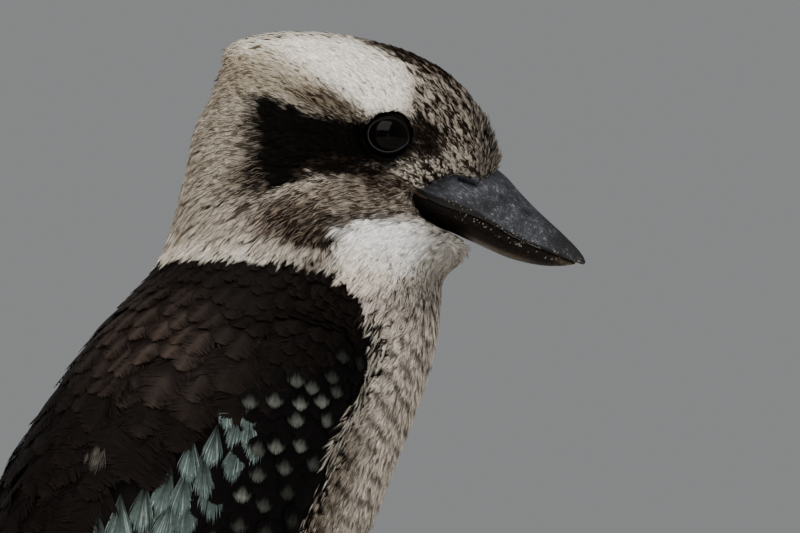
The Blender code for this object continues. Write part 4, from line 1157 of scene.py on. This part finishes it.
def draped(layer, limit, top=1.0):
    """The layer with the barbs that reach out past the coat by more than the limit in mm cut short."""
    points = layer["points"].reshape(-1, 5, 3)
    middle = slice(1, 4) if layer["keeled"][0] else slice(2, 4)
    for strip in np.flatnonzero(points[:, 4, 2] < top).tolist():
        near, _, _, gap = form_tree.find_nearest(points[strip, 0].tolist())
        if gap > limit * MM:
            points[strip] += (np.array(near) - points[strip, 0]) * (1 - limit * MM / gap)
        gap = form_tree.find_nearest(points[strip, 4].tolist())[3]
        if gap > limit * MM:
            cut = 1 - limit * MM / gap
            points[strip, middle] += cut * (points[strip, 0] - points[strip, middle].mean(0))
            points[strip, 4] += cut * (points[strip, 0] - points[strip, 4])
    layer["points"] = points.reshape(layer["points"].shape)
    return layer


def off_middle(points):
    """Distance from the middle plane, in mm."""
    turn, flat = turn_at(points), points[:, :2] - MIDDLE
    return np.abs(flat[:, 1] * np.cos(turn) - flat[:, 0] * np.sin(turn)) / MM


def wavy_bars(points):
    """Broken wavy bars across the lie of the feathers, about 5 mm apart: 1 on a bar, 0 off it."""
    seen = right_side(points.reshape(-1, 3))[0] / MM
    x, y, z = seen.T
    drift = 1.3 * np.sin(0.24 * x + 0.9 * np.sin(0.17 * z)) + 0.35 * np.sin(0.83 * x - 0.6 * z + 0.3 * y)
    phase = (0.68 * x + 0.73 * z + drift) / 5.6
    line = dip((phase - np.round(phase)) * 5.6, 0.75)
    broken = np.sin(0.9 * x - 0.35 * z + 1.7 * np.sin(0.31 * z)) + np.sin(0.37 * x + 0.55 * y + 0.8 * z)
    return (line * smooth((broken + 0.9) / 1.1)).reshape(points.shape[:-1])


def body_spacing(points):
    """Room in mm between the roots of the breast's and belly's feathers."""
    x, z = side_view(points)
    gap = 1.42 + 0.35 * smooth((190 - z) / 40)
    dark = (on_back(points, 0.5) > 0.5) | on_wing(points)
    return np.where(dark | (z >= 262) | (z < 97) | ((x < -61) & (z < 112)), 0, gap)


roots, ups = scatter(body_spacing)
low = smooth((200 * MM - roots[:, 2]) / (50 * MM))
length = (7.6 + 3.4 * low) * (1 + 0.12 * rng.normal(size=len(roots))) * MM
path, ups = walk(roots, ups, length, 3, 0.13 * rng.normal(size=len(roots)))
layer = grow(path, ups, length * 0.24, spray(24, 0.46), 0.085 + 0.06 * low, coat_depth(roots) / MM * 0.6,
    rng.normal(0.1, 0.18, len(roots)), 0.3, loose=0.1)
layer = draped(layer, 1.3, 150 * MM)
colour = barb_colour(layer, path[:, 0], path[:, -1], dull=0.68, vary=0.13)
_, deep, _, bars, _ = markings(path[:, -1])
barred = wavy_bars(layer["points"][:, :, [0, 2, 4]]) * bars[:, None, None]
barred = barred * rng.uniform(0.7, 1.4, layer["a"].shape[:2])[..., None]
layer["colour"] = blend(colour, deep[:, None, None] * 0.5, np.clip(barred, 0, 1))

# Loose ends of the side feathers, which lap over the front edge of each wing.
EDGE = np.array([(44.2, 265.4), (48.5, 261.6), (50.2, 256.8), (49.1, 252.4), (47.5, 247.0), (45.3, 242.2),
    (42.6, 236.8), (39.9, 231.9), (37.7, 227.1), (36.1, 221.1), (32.3, 213.0), (28.0, 205.5), (21, 196),
    (8, 184), (-6, 170), (-24, 154)])
spots = np.repeat(np.arange(len(EDGE) - 1), [26] * 9 + [8] * 6)
along = rng.random(len(spots))[:, None]
marks = EDGE[spots] * (1 - along) + EDGE[spots + 1] * along + rng.normal(0, 1.0, (len(spots),
    2)) + (-0.4, 0.6)


ACROSS = np.array([-math.sin(BODY_TURN), math.cos(BODY_TURN), 0.0])  # from the trunk's right to its left


def mirrored(points, middle=(*MIDDLE, 0.0)):
    """Points of the trunk's or wings' right side, on the left; for ways, the middle is 0."""
    return points - 2 * ((points - middle) @ ACROSS)[..., None] * ACROSS


def both_sides(path, ups, *values):
    """The same feathers on both sides."""
    path, ups = np.concatenate([path, mirrored(path)]), np.concatenate([ups, mirrored(ups, 0)])
    return path, ups, *[np.tile(value, 2) for value in values]


starts, tops = sighted(marks)
turn = 0.1 * rng.normal(size=len(starts))
length = rng.uniform(4.0, 8.5, len(starts)) * MM
angle = np.radians(np.interp(starts[:, 2] / MM, (160, 205, 222, 235, 250, 268), (232, 224, 210, 198, 206,
    236)))
path, ups = walk(starts, tops, length, 3, turn, heading(angle))
path, ups, length = both_sides(path, ups, length)
wisps = grow(path, ups, length * 0.07, spray(5, 0.86), 0.1, 1.0, rng.uniform(0.5, 1.1, len(path)), 0.1,
    loose=0.05)
light = (rng.random((len(path), 1)) * 4 + rng.uniform(-0.7, 0.7, wisps["a"].shape[:2])).astype(int)
shades = np.array([linear(c) for c in ("#100d0b", "#29231e", "#8f8779", "#bdb6a9")])
wisps["colour"] = shades[np.clip(light, 0, 3)][:, :, None].repeat(3, axis=2)
add_coat("breast_feathers", [layer, wisps], soft_barbs, "feather_pale")

# FEATHERS OF THE BACK
# Broad, smooth feathers of dark brown keratin that overlap like tiles, each a flat blade of close barbs
# with a loose hair-like edge. They run from the pale collar over the shoulders, and cover the wings' roots.

WING = [(49.1, 256.8), (34.5, 255.1), (23.7, 251.9), (12.9, 249.7), (3.5, 246.0), (-5.5, 238.9),
    (-14.6, 230.3), (-23.3, 221.1), (-30.8, 210.9), (-33.5, 200.9), (-38, 190), (-54, 176), (-66, 160),
    (-90, 130), (-90, 78), (-74, 78), (-63, 120), (-51, 130), (-35, 140), (-25, 150), (-15, 160), (-5, 170),
    (5, 176), (14.5, 180), (23.5, 199), (31.3, 210.9), (36.1, 218.4), (40.4, 230.3), (45.6, 241.1),
    (51.8, 251.9)]


def back_length(points):
    """Length in mm of a feather of the back: small by the collar and on the shoulder, long behind."""
    x, z = side_view(points)
    length = np.interp(z, (150, 200, 235, 262, 282), (22, 25, 23, 17, 9))
    return length * (1 - 0.45 * smooth((x - 10) / 24))


def back_spacing(points):
    """Room in mm between the roots of the back's feathers."""
    x, z = side_view(points)
    cleft = (off_middle(points) < 16) & (z < 205)
    bare = (on_back(points, 0.5) < 0.5) | ((inside(WING, x, z, 0.5) > 0.5) & ~cleft)
    return np.where(bare | (z < 112) | ((z < 128) & (x > -60)), 0, 0.3 * back_length(points))


roots, ups = scatter(back_spacing, spare=12)
length = back_length(roots) * (1 + 0.1 * rng.normal(size=len(roots))) * MM
path, ups = walk(roots, ups, length, 4, 0.1 * rng.normal(size=len(roots)))
plan = vane(64, 0.34)
layer = grow(path, ups, length * (0.31 - 0.09 * smooth((170 * MM - roots[:, 2]) / (30 * MM))), plan,
    length / MM / 64 * 0.62, np.clip(coat_depth(roots) / MM * 0.6, 0.8, 2.4), rng.normal(0.02, 0.04,
    len(roots)), 0.6, loose=0.08, bend=0.8, keel=0, knee=0.76)
layer = draped(layer, 1.2)


def dark_vane(layer, base, edge, tips=1.0):
    """Colours of a dark feather: each its own depth of brown, paler at its rim and along some barbs."""
    count, barbs = layer["a"].shape[:2]
    whole = np.exp(0.14 * rng.normal(size=(count, 1, 1)))
    each = np.exp(0.09 * rng.normal(size=(count, barbs, 1)))
    rim = smooth((np.hypot(np.clip(layer["a"] - 0.55, 0, 1) / 0.45, layer["b"]) - 0.72) / 0.3) * tips
    colour = linear(base) * (whole * each)[..., None] * np.ones((1, 1, 3, 1))
    return blend(colour, linear(edge), rim * rng.uniform(0.1, 0.9, (count, barbs, 1)))


# A painted sheen lightens the brown of the upper back, and the pale quills show only inside it; the
# shoulders are darker.
x, z = side_view(path[:, -1])
painted_sheen = np.exp(-(((x + 14) / 17) ** 2) - ((z - 252) / 15) ** 2)[:, None, None]
colour = dark_vane(layer, "#110c0a", "#241c17") * (0.5 + 1.2 * painted_sheen)[..., None]
quill = np.exp(-((layer["b"] / 0.035) ** 2)) * smooth((layer["a"] - 0.4) / 0.2)
layer["colour"] = blend(colour, linear("#5d5048"), 0.3 * quill * painted_sheen)
back_layer = layer

# A wisp of pale down that has worked its way out between two feathers of the right shoulder.
marks = np.array([(-26.5, 227.1)]) + rng.normal(0, (1.1, 1.3), (18, 2))
starts, tops = sighted(marks)
length = rng.uniform(3.5, 6.5, 18) * MM
angle = np.radians(rng.normal(243, 9, 18))
down_path, down_ups = walk(starts, tops, length, 3, 0 * length, heading(angle))
down = grow(down_path, down_ups, length * 0.2, spray(9, 0.85), 0.06, -0.5, rng.uniform(0.4, 0.9, 18), 0.1,
    loose=0.1)
shade = rng.uniform(0.2, 1.0, down["a"].shape[:2])[:, :, None, None]
down["colour"] = linear("#524c46") * shade * np.ones((1, 1, 3, 1))
smooth_barbs = feather_barbs("smooth_feather_barbs", 0.58, 1.2)

# WINGS
# Both folded wings are alike. Small black coverts with a pale dot at each tip lie in rows on a row of
# turquoise-edged ones; under them the long secondaries and primaries close like a fan to the wing's tip.

# Rows of coverts from the shoulder down: first and last tip (x, z in mm), and how many.
COVERTS = (((37.2, 255.1), (45.8, 254.6), 3), ((31.3, 249.2), (44.2, 250.3), 4), ((21.0, 245.4),
    (42.1, 246.0), 5), ((12.4, 240.6), (38.8, 241.6), 5), ((13.2, 235.7), (36.7, 237.3), 5), ((14.3, 229.0),
    (34.5, 231.9), 4), ((9.1, 222.2), (32.3, 225.4), 4), ((3.5, 214.1), (30.2, 219.0), 5), ((3.2, 207.1),
    (26.9, 212.5), 4), ((-2.8, 200.1), (24.8, 205.5), 5), ((-9.2, 193.0), (21.0, 199.0), 5),
    ((-16.8, 186.0), (14.5, 192.0), 5), ((-25.4, 180.1), (8.0, 184.9), 5))
BAND = ((7.2, 234.9), (12.6, 234.4), (8.0, 230.3), (12.9, 229.2), (2.6, 224.9), (14.0, 226.0), (8.0, 221.1),
    (-3.0, 220.9), (1.0, 216.5), (-11.4, 212.2), (-5.7, 211.7), (2.9, 210.6), (-4.1, 205.7), (-11.1, 204.4),
    (-16.3, 207.1), (-8.7, 200.1), (-21.7, 202.2), (-15.2, 199.0), (-26.5, 196.8), (-20.6, 193.6),
    (-30.8, 192.0), (-26.0, 188.2), (-35.7, 186.6), (-30.8, 182.8))


def traced(rows):
    """Quills through rows of marks on the right wing, each row one place along all the quills."""
    path, ups = [], []
    for marks in rows:
        place, up = sighted(marks, path[-1] if path else None)
        path.append(place)
        ups.append(up)
    return np.stack(path, axis=1), np.stack(ups, axis=1)


def laid(tips, angle, length, steps):
    """Quills laid straight on the right wing from these tips' places back to their roots."""
    way = heading(angle)[:, [0, 2]]
    return traced([tips - way * ((1 - step / steps) * length)[:, None] for step in range(steps + 1)])


# Pale spots on the coverts' tips: each one's x and z in mm, and how pale.
SPOTS = ((37.7, 251.6, 0.15), (41.8, 249.7, 0.12), (34.8, 246.2, 0.25), (35.6, 242.5, 0.3),
    (25.6, 245.2, 0.5), (29.4, 243.5, 0.6), (12.9, 239.5, 0.5), (19.6, 239.8, 0.85), (26.4, 239.2, 0.95),
    (32.3, 239.8, 0.85), (25.6, 234.6, 0.7), (32.6, 234.9, 0.8), (19.9, 227.6, 0.8), (25.9, 228.1, 0.8),
    (14.5, 227.1, 0.6), (15.1, 220.0, 0.45), (22.1, 221.9, 0.5), (29.1, 223.0, 0.35), (10.7, 214.6, 1.0),
    (16.1, 212.2, 0.4), (22.6, 215.2, 0.2), (9.9, 206.3, 0.3), (16.7, 204.7, 0.25), (23.7, 207.6, 0.15),
    (3.2, 202.2, 0.5), (11.3, 197.9, 0.3), (-1.7, 195.2, 0.4), (5.3, 191.4, 0.3), (-8.7, 188.7, 0.4),
    (-0.6, 184.4, 0.3), (-15.2, 181.7, 0.35), (-7.1, 177.9, 0.25), (18.3, 196.8, 0.15), (12.9, 188.7, 0.15),
    (7.0, 181.7, 0.15))
tips, under = [], []
for first, last, number in COVERTS:
    share = (np.arange(number) / max(number - 1, 1))[:, None]
    tips += list(np.array(first) * (1 - share) + np.array(last) * share)
    half = (np.arange(number + 1) - 0.5)[:, None] / max(number - 1, 1)
    under += list(np.array(first) * (1 - half) + np.array(last) * half - (0, 3.0))
tips, under = np.array(tips), np.array(under)
tips = tips + rng.normal(0, 0.5, tips.shape)
layers = []
for marks, sink, size in ((under, 0.5, 11.5), (tips, 0.0, 9.5)):
    size = size * np.interp(marks[:, 1], (180, 205, 235, 255), (1.5, 1.25, 1.0, 0.75))
    size = size * rng.uniform(0.92, 1.08, len(marks))
    angle = np.radians(np.interp(marks[:, 1], (180, 210, 260), (246, 257, 258)) + rng.normal(0, 4,
        len(marks)))
    path, ups, size = both_sides(*laid(marks + (0.1, -0.9), angle, size, 4), size)
    layer = grow(path, ups, size * 0.36 * MM, vane(34, 0.32), size / 34 * 0.66, 1.3, 0.1 - sink, 0.5,
        loose=0.05, bend=0.8, keel=0, knee=0.75)
    layer["colour"] = dark_vane(layer, "#050404", "#0b0908")
    layers.append(layer)

spots = np.array(SPOTS)
marks, shade = spots[:, :2], spots[:, 2] * rng.uniform(0.8, 1.2, len(spots))
size = np.interp(marks[:, 1], (180, 235), (10.5, 8.0)) * rng.uniform(0.9, 1.1, len(marks))
angle = np.radians(rng.normal(259, 8, len(marks)))
path, ups, size, shade = both_sides(*laid(marks + (0, -1.3), angle, size, 3), size, shade)
layer = grow(path, ups, size * 0.34 * MM, spray(44, 0.5, 0.26), 0.2, 0.6, 0.9, 0.3, loose=0.03, bend=0.9,
    keel=0, knee=0.6)
colour = dark_vane(layer, "#050404", "#0b0908", 0.0)
wide = size[:, None, None]
off = np.hypot((layer["a"] - 0.84) * wide * 1.15, layer["b"] * wide * 0.24)  # in mm
dot = smooth((2.35 - off) / 1.5) * (0.6 + 0.4 * smooth((layer["a"] - 0.66) / 0.2))
dot = dot * shade[:, None, None] * rng.uniform(0.65, 1.0, layer["a"].shape[:2])[..., None]
layer["colour"] = blend(colour, linear("#63675f"), np.clip(dot, 0, 1))
layers.append(layer)

marks = np.array(BAND)
size = np.interp(marks[:, 1], (190, 235), (17, 12)) * rng.uniform(0.92, 1.08, len(marks))
angle = np.radians(rng.normal(262, 5, len(marks)))
path, ups, size = both_sides(*laid(marks + (0, -2.2), angle, size, 4), size)
ROUND = 0.26  # how much shorter a band feather's side barbs are than its middle ones
layer = grow(path, ups, size * 0.22 * MM, spray(52, 0.72, ROUND), size / 52 * 0.5, 1.1, 0.45, 0.5,
    loose=0.05, bend=0.9, keel=0, knee=0.8)
colour = dark_vane(layer, "#050404", "#0b0908", 0.0)
out = layer["a"] / (1 - ROUND * np.abs(layer["b"]) ** 1.6)
each = rng.uniform(0.75, 1.1, (len(size), 1, 1)) * rng.uniform(0.7, 1.0, layer["a"].shape[:2])[..., None]
blue = np.clip((0.04 + 0.96 * smooth((out - 0.56) / 0.18)) * each * (1 - 0.45 * layer["b"] ** 6), 0, 1)
bright = (rng.random(layer["a"].shape[:2]) < 0.14)[:, :, None, None]
layer["colour"] = blend(colour, np.where(bright, linear("#7d8c87"), linear("#4d5a56")), blue)
layers.append(layer)


def tip_spacing(points):
    """Room in mm between the roots of the feathers on the wings' free ends."""
    z = points[:, 2] / MM
    dark = on_wing(points) | (on_back(points, 0.5) > 0.5)
    return np.where(dark & (z > 90) & (z < 142), 3.3, 0)


# The long feathers of the wings' free ends lie close along them, over the root of the tail.
roots, ups = scatter(tip_spacing, spare=12)
length = np.interp(roots[:, 2] / MM, (90, 142), (8, 24)) * rng.uniform(0.92, 1.08, len(roots)) * MM
path, ups = walk(roots, ups, length, 4, 0.05 * rng.normal(size=len(roots)))
lift = rng.normal(0.12, 0.05, len(roots))
layer = grow(path, ups, length * 0.05 + 1.7 * MM, vane(40, 0.3), length / MM / 40 * 0.62, 0.6, lift, 0.4,
    loose=0.04, bend=0.85, keel=0, knee=0.8)
layer = draped(layer, 0.8)
layer["colour"] = dark_vane(layer, "#0e0a08", "#211b18", 0.6)
layers.append(layer)


def quills(path, ups, half_width, count, share, thick, lift, colour):
    """The quills of long feathers: each a line of short strips along its middle."""
    start = np.linspace(0.0, 0.94, count)
    layer = grow(path, ups, half_width, (start, start + share, 0 * start), thick, 0.1, lift + 0.3, 0.0,
        loose=0.0, tilt=0.0, keel=0.4)
    layer["colour"] = np.broadcast_to(linear(colour), layer["a"].shape + (3,))
    return layer


# The flight feathers that show under the coverts, from the innermost to the outermost of each wing.
FLIGHT = 13
share = (np.arange(FLIGHT) / (FLIGHT - 1))[:, None]
root = np.array((-32, 200)) * (1 - share) + np.array((18, 200)) * share
tip = np.array((-62, 138)) * (1 - share) + np.array((-45, 134)) * share
rows = [root * (1 - t) + tip * t + 2.2 * math.sin(math.pi * t) * (share - 0.3) for t in np.arange(11) / 10]
path, ups, lift = both_sides(*traced(rows), 0.5 - 0.05 * np.arange(FLIGHT))
size = np.linalg.norm(path[:, -1] - path[:, 0], axis=1) / MM
half = np.tile(5.2 * (1 - 0.4 * share[:, 0]), 2) * MM
plan = vane(110, 0.09, shoulder=0.86, bare=0.02)
layer = grow(path, ups, half, plan, size / 110 * 0.62, 0.5, lift, 0.5, loose=0.02, bend=0.9, keel=0,
    knee=0.88)
layer = draped(layer, 0.8)
layer["colour"] = dark_vane(layer, "#0e0a08", "#211b18", 0.6)
layers += [layer, draped(quills(path, ups, half, 24, 0.06, 0.32, lift, "#120d0b"), 1.1)]
add_coat("wing_feathers", layers, smooth_barbs, "feather_dark", "wing_left", "wing_right")
add_coat("back_feathers", [back_layer, down], smooth_barbs, "feather_dark")

# TAIL
# Twelve stiff feathers on one fan, brown with black bars and buff-white tips, the middle pair on top.
# Each is a flat blade of close barbs on a strong brown quill, rooted in one row under the coat.

TAIL_BASE, TAIL_TIP = np.array([-47.0, 152.0]), np.array([-98.8, 28.6])
tail_tree = tree_of(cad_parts["tail"].data)
cos, sin = math.cos(BODY_TURN), math.sin(BODY_TURN)
axis = (TAIL_TIP - TAIL_BASE) / np.linalg.norm(TAIL_TIP - TAIL_BASE)
over = np.array([axis[1], -axis[0]])  # out of the tail's upper face


def from_trunk(points):
    """Points given in the trunk's own frame, in mm, put in their place under the turned neck."""
    x, y, z = points[..., 0] - 31, points[..., 1], points[..., 2]
    turned = np.stack([x * cos - y * sin + 27.7, x * sin + y * cos + 5.9, z], axis=-1)
    return turned * MM


over_way = unit(from_trunk(np.array([over[0], 0, over[1]])) - from_trunk(np.zeros(3)))
layers = []
for number in range(12):
    side = (number - 5.5) / 5.5
    path, ups = [], []
    for step in range(9):
        t = 0.10 + 0.9 * step / 8 * (1 - 0.03 * abs(side))
        spread = side * (5.5 + 12.5 * t)
        flat = TAIL_BASE + (TAIL_TIP - TAIL_BASE) * t
        guess = from_trunk(np.array([flat[0], spread, flat[1]]))
        hit = tail_tree.ray_cast(Vector(guess + over_way * 0.05), Vector(-over_way))
        place = np.array(hit[0]) if hit[0] else guess
        normal = np.array(hit[1]) if hit[0] else over_way
        path.append(place)
        ups.append(normal if normal @ over_way > 0 else -normal)
    path, ups = np.array([path]), np.array([ups])
    height = -0.2 - 0.22 * abs(number - 5.5)
    size = np.linalg.norm(path[:, -1] - path[:, 0], axis=1) / MM
    half = np.array([7.0 * MM])
    plan = vane(150, 0.07, shoulder=0.88, bare=0.02, blunt=2.4)
    layer = grow(path, ups, half, plan, size / 150 * 0.62, 0.3, height, 0.4, loose=0.015, bend=0.9, keel=0,
        knee=0.88)
    a, b = layer["a"], layer["b"]
    wave = a * 9.5 + 0.35 * np.abs(b) + 0.12 * np.sin(7 * b + number)
    brown = np.where((np.abs(b) > 0.75)[..., None], linear("#6b5440"), linear("#5a4230"))
    colour = blend(brown, linear("#14100d"), smooth((np.cos(2 * np.pi * wave) - 0.05) / 0.5))
    colour = blend(colour, linear("#a89f90"), smooth((a - 0.915) / 0.03))
    layer["colour"] = colour * np.exp(0.16 * rng.normal(size=a.shape[:2]))[:, :, None, None]
    layers += [layer, quills(path, ups, half, 32, 0.05, 0.45, height, "#2b1d14")]
add_coat("tail_feathers", layers, smooth_barbs, "feather_dark", "tail")

# LEGS AND CLAWS
# Short legs and toes of scaly grey-brown skin over bone. Cross scales ring the top of each toe, and small
# grains cover the rest. The claws are curved black horn, duller than the bill.


def scaled_leg():
    """Scaly leg skin: dry, grey-brown plates with paler edges, darker in the creases between them."""
    material, add, place = new_material("scaly_leg_skin")
    grains = add("TexVoronoi", Vector=place, Scale=1 / (0.7 * MM))
    cloud = add("TexNoise", Vector=place, Scale=1 / (4 * MM), Detail=3.0)
    colour = add("MixRGB", grains, add("MixRGB", cloud, "#6b6353", "#8c8370"), "#4b4439")
    bump = add("Bump", Height=grains, Strength=0.6, Distance=0.12 * MM, invert=True)
    return finish_material(material, Base_Color=colour, Roughness=0.6, Specular_IOR_Level=0.35, Normal=bump)


def claw_horn():
    """Claw horn: black, satin, worn paler and rougher in patches."""
    material, add, place = new_material("black_claw_horn")
    wear = add("TexNoise", Vector=place, Scale=1 / (1.4 * MM), Detail=4.0)
    colour = add("MixRGB", wear, "#0e0c0b", "#3b3530")
    rough = add("MapRange", wear, 0.0, 1.0, 0.28, 0.55)
    bump = add("Bump", Height=wear, Strength=0.3, Distance=0.1 * MM)
    return finish_material(material, Base_Color=colour, Roughness=rough, IOR=1.54, Normal=bump)


leg_skin, claws = scaled_leg(), claw_horn()
for side in ("left", "right"):
    for toe in ("inner", "middle", "outer", "hind", ""):
        node = f"toe_{side}_{toe}" if toe else "tarsus_" + side
        mesh = closed_form(node, (node,), 0.45, 2)
        points, normals = points_of(mesh), normals_of(mesh)
        centre = points.mean(0)
        length_way = np.linalg.svd(points - centre, full_matrices=False)[2][0]
        along = (points - centre) @ length_way / MM
        ring = np.abs(((along / 1.7) % 1) - 0.5) * 2
        top = smooth(normals[:, 2] * 0.6 + 0.5) if toe else 1.0
        points -= normals * (0.26 * smooth((ring - 0.62) / 0.38) * top)[:, None] * MM
        mesh.vertices.foreach_set("co", points.ravel())
        dress(mesh, leg_skin)
        add_piece(node + "_skin", mesh, "leg", node)
        if toe:
            set_material(f"claw_{side}_{toe}", claws)

# PERCH
# A cut length of a dead gum branch: thin, weathered bark, split along the grain, over pale wood that
# shows at both sawn ends with its growth rings.

PERCH_CENTRE = np.array([0.0, 0.0, 116.5]) * MM


def weathered_bark():
    """Weathered bark: grey-brown ridges and dark splits along the branch, with pale lichen dust."""
    material, add, place = new_material("weathered_bark")
    turned = add("Mapping", Vector=place, Rotation=(0, 0, -BODY_TURN))
    grain = add("Mapping", Vector=turned, Scale=(600, 60, 600))
    fibres = add("TexNoise", Vector=grain, Scale=1.0, Detail=6.0, Roughness=0.65)
    cloud = add("TexNoise", Vector=place, Scale=1 / (14 * MM), Detail=5.0)
    colour = add("ValToRGB", fibres, stops=((0.3, "#2b221b"), (0.72, "#8f8578")))
    dusted = add("MixRGB", add("MapRange", cloud, 0.52, 0.64, 0.0, 0.6), colour, "#a8a496")
    bump = add("Bump", Height=fibres, Strength=0.7, Distance=0.5 * MM)
    return finish_material(material, Base_Color=dusted, Roughness=0.88, Specular_IOR_Level=0.25,
        Normal=bump)


def sawn_wood():
    """Sawn end grain: pale dry wood with darker growth rings and grey weather stains."""
    material, add, place = new_material("sawn_end_grain")
    moved = add("Mapping", Vector=place, Location=tuple(-PERCH_CENTRE))
    turned = add("Mapping", Vector=moved, Rotation=(0, 0, -BODY_TURN), Scale=(1, 0.0, 1))
    wave = add("TexWave", Vector=turned, Scale=1 / (4.6 * MM), Distortion=3.2, Detail=3.0, Detail_Scale=0.6,
        wave_type="RINGS", rings_direction="Y")
    rings = (wave, "Fac")
    colour = add("ValToRGB", rings, stops=((0.1, "#7b6a55"), (0.6, "#a08f76")))
    stains = add("TexNoise", Vector=place, Scale=1 / (7 * MM), Detail=5.0)
    stained = add("MixRGB", add("MapRange", stains, 0.35, 0.7, 0.0, 0.75), colour, "#6f675b")
    bump = add("Bump", Height=rings, Strength=0.3, Distance=0.15 * MM)
    return finish_material(material, Base_Color=stained, Roughness=0.85, Specular_IOR_Level=0.25,
        Normal=bump)


mesh = closed_form("perch", ("perch_branch",), 0.9, 1)
sawn = np.abs(read(mesh.polygons, "normal") @ ACROSS) > 0.8
ends = np.abs((read(mesh.polygons, "center") - PERCH_CENTRE) @ ACROSS) / MM > 70
points, normals = points_of(mesh), normals_of(mesh)
local = points - PERCH_CENTRE
along = local @ ACROSS / MM
across_way = np.array([math.cos(BODY_TURN), math.sin(BODY_TURN), 0.0])
angle = np.arctan2(local[:, 2], local @ across_way)
bark = 1 - smooth((np.abs(normals @ ACROSS) - 0.4) / 0.3)
splits = np.zeros(len(points))
for count, depth, drift in ((11, 0.55, 0.05), (17, 0.35, 0.09), (29, 0.2, 0.16)):
    wander = 1.9 * np.sin(along * drift + count) + 0.8 * np.sin(along * 0.31 + 2 * angle)
    wave = np.sin(count * angle + wander)
    splits += depth * smooth((wave - 0.3) / 0.7)
radius = np.hypot(local[:, 2], local @ across_way) / MM
checks = np.zeros(len(points))
for turn, start, end in ((0.4, 1, 15), (1.9, 5, 17), (3.1, 3, 12), (4.4, 7, 17), (5.5, 2, 10)):
    aside = np.abs(np.sin((angle - turn) / 2)) * 2 * radius
    checks += np.exp(-((aside / 0.8) ** 2)) * smooth((radius - start) / 2) * smooth((end - radius) / 4)
points -= normals * (splits * bark + 0.8 * np.clip(checks, 0, 1) * (1 - bark))[:, None] * MM
mesh.vertices.foreach_set("co", points.ravel())
dress(mesh, weathered_bark(), sawn_wood())
mesh.polygons.foreach_set("material_index", (sawn & ends).astype(int))
add_piece("perch_bark", mesh, "bark", "perch_branch")

# STAND
# A round base turned from dark hardwood and varnished, with one steel rod screwed into it and a
# collar to hide the hole.


def varnished_wood():
    """Varnished hardwood: dark brown straight grain with fine open pores under a satin film."""
    material, add, place = new_material("varnished_dark_hardwood")
    grain = add("Mapping", Vector=place, Scale=(26, 420, 420))
    figure = add("TexNoise", Vector=grain, Scale=1.0, Detail=5.0, Distortion=0.6)
    pores = add("Mapping", Vector=place, Scale=(220, 2600, 2600))
    fine = add("TexNoise", Vector=pores, Scale=1.0, Detail=2.0)
    colour = add("ValToRGB", figure, stops=((0.3, "#2a1509"), (0.7, "#5b3117")))
    mixed = add("VectorMath", colour, add("MapRange", fine, 0.34, 0.46, 0.55, 1.0), operation="MULTIPLY")
    bump = add("Bump", Height=fine, Strength=0.15, Distance=0.1 * MM)
    return finish_material(material, Base_Color=mixed, Roughness=0.4, Coat_Weight=0.5, Coat_Roughness=0.18,
        Coat_IOR=1.5, Normal=bump)


def drawn_steel():
    """Drawn steel bar: bright grey, with the fine lines of the die along it."""
    material, add, place = new_material("drawn_steel")
    lines = add("Mapping", Vector=place, Scale=(4000, 4000, 60))
    drawn = add("TexNoise", Vector=lines, Scale=1.0, Detail=3.0)
    rough = add("MapRange", drawn, 0.0, 1.0, 0.22, 0.46)
    tone = add("MixRGB", drawn, "#9a9a9c", "#b9b9bb")
    bump = add("Bump", Height=drawn, Strength=0.1, Distance=0.05 * MM)
    return finish_material(material, Base_Color=tone, Metallic=1.0, Roughness=rough, Normal=bump)


set_material("stand_base", varnished_wood())
steel = drawn_steel()
set_material("stand_rod", steel)
set_material("stand_collar", steel)

# STUDIO
# A plain floor of pale painted board, soft light from large panels, and a long lens level with the
# bird's head.


def studio_floor():
    """Matt painted board: pale warm grey, with hardly any grain."""
    material, add, place = new_material("matt_painted_board")
    grain = add("TexNoise", Vector=place, Scale=1 / (40 * MM), Detail=3.0)
    colour = add("MixRGB", grain, "#cfcdc9", "#d4d2ce")
    return finish_material(material, Base_Color=colour, Roughness=0.9, Specular_IOR_Level=0.2)


FLOOR = 3.0  # half its side, in metres
corners = [(x * FLOOR, y * FLOOR, 0) for x, y in ((-1, -1), (1, -1), (1, 1), (-1, 1))]
new_object("studio_floor", mesh_from("studio_floor", corners, [(0, 1, 2, 3)], studio_floor()))


def aimed(name, data, place, point):
    """A light or camera at a place, turned towards a point."""
    thing = new_object(name, data)
    thing.location = place
    thing.rotation_mode = "QUATERNION"
    thing.rotation_quaternion = (Vector(point) - Vector(place)).to_track_quat("-Z", "Y")
    return thing


BIRD = (0.02, 0.0, 0.25)  # the middle of the bird


def add_light(name, place, size, power, tint, glossy=True):
    """A soft panel of light turned towards the bird, which gloss mirrors or not."""
    data = bpy.data.lights.new(name, "AREA")
    data.shape = "RECTANGLE"
    data.size, data.size_y = size
    data.energy, data.color = power, tuple(linear(tint))
    light = aimed(name, data, place, BIRD)
    light.visible_camera, light.visible_glossy = False, glossy


add_light("key_panel", (-0.55, -1.2, 1.75), (2.2, 2.0), 62.0, "#fffaf3")
add_light("fill_panel", (0.35, -2.3, 0.75), (1.8, 1.3), 30.0, "#f4f7ff", glossy=False)
add_light("back_panel", (-0.8, 1.6, 1.5), (1.8, 1.6), 34.0, "#fff8ee", glossy=False)

world = bpy.data.worlds.new("studio_air")
world.use_nodes = True
air = world.node_tree.nodes["Background"].inputs
air["Color"].default_value, air["Strength"].default_value = (*linear("#c9cbcc"), 1), 0.42
bpy.context.scene.world = world

# The camera is level with the middle of the head and looks down on it by 0.6 degrees.
x, z, far = 53.4 * MM, 276.1 * MM, 3.6
camera = bpy.data.cameras.new("camera")
camera.lens, camera.sensor_width, camera.clip_end = 600, 36, 20
place = (x, -far, z + far * math.sin(math.radians(0.6)))
bpy.context.scene.camera = aimed("camera", camera, place, (x, 0, z))
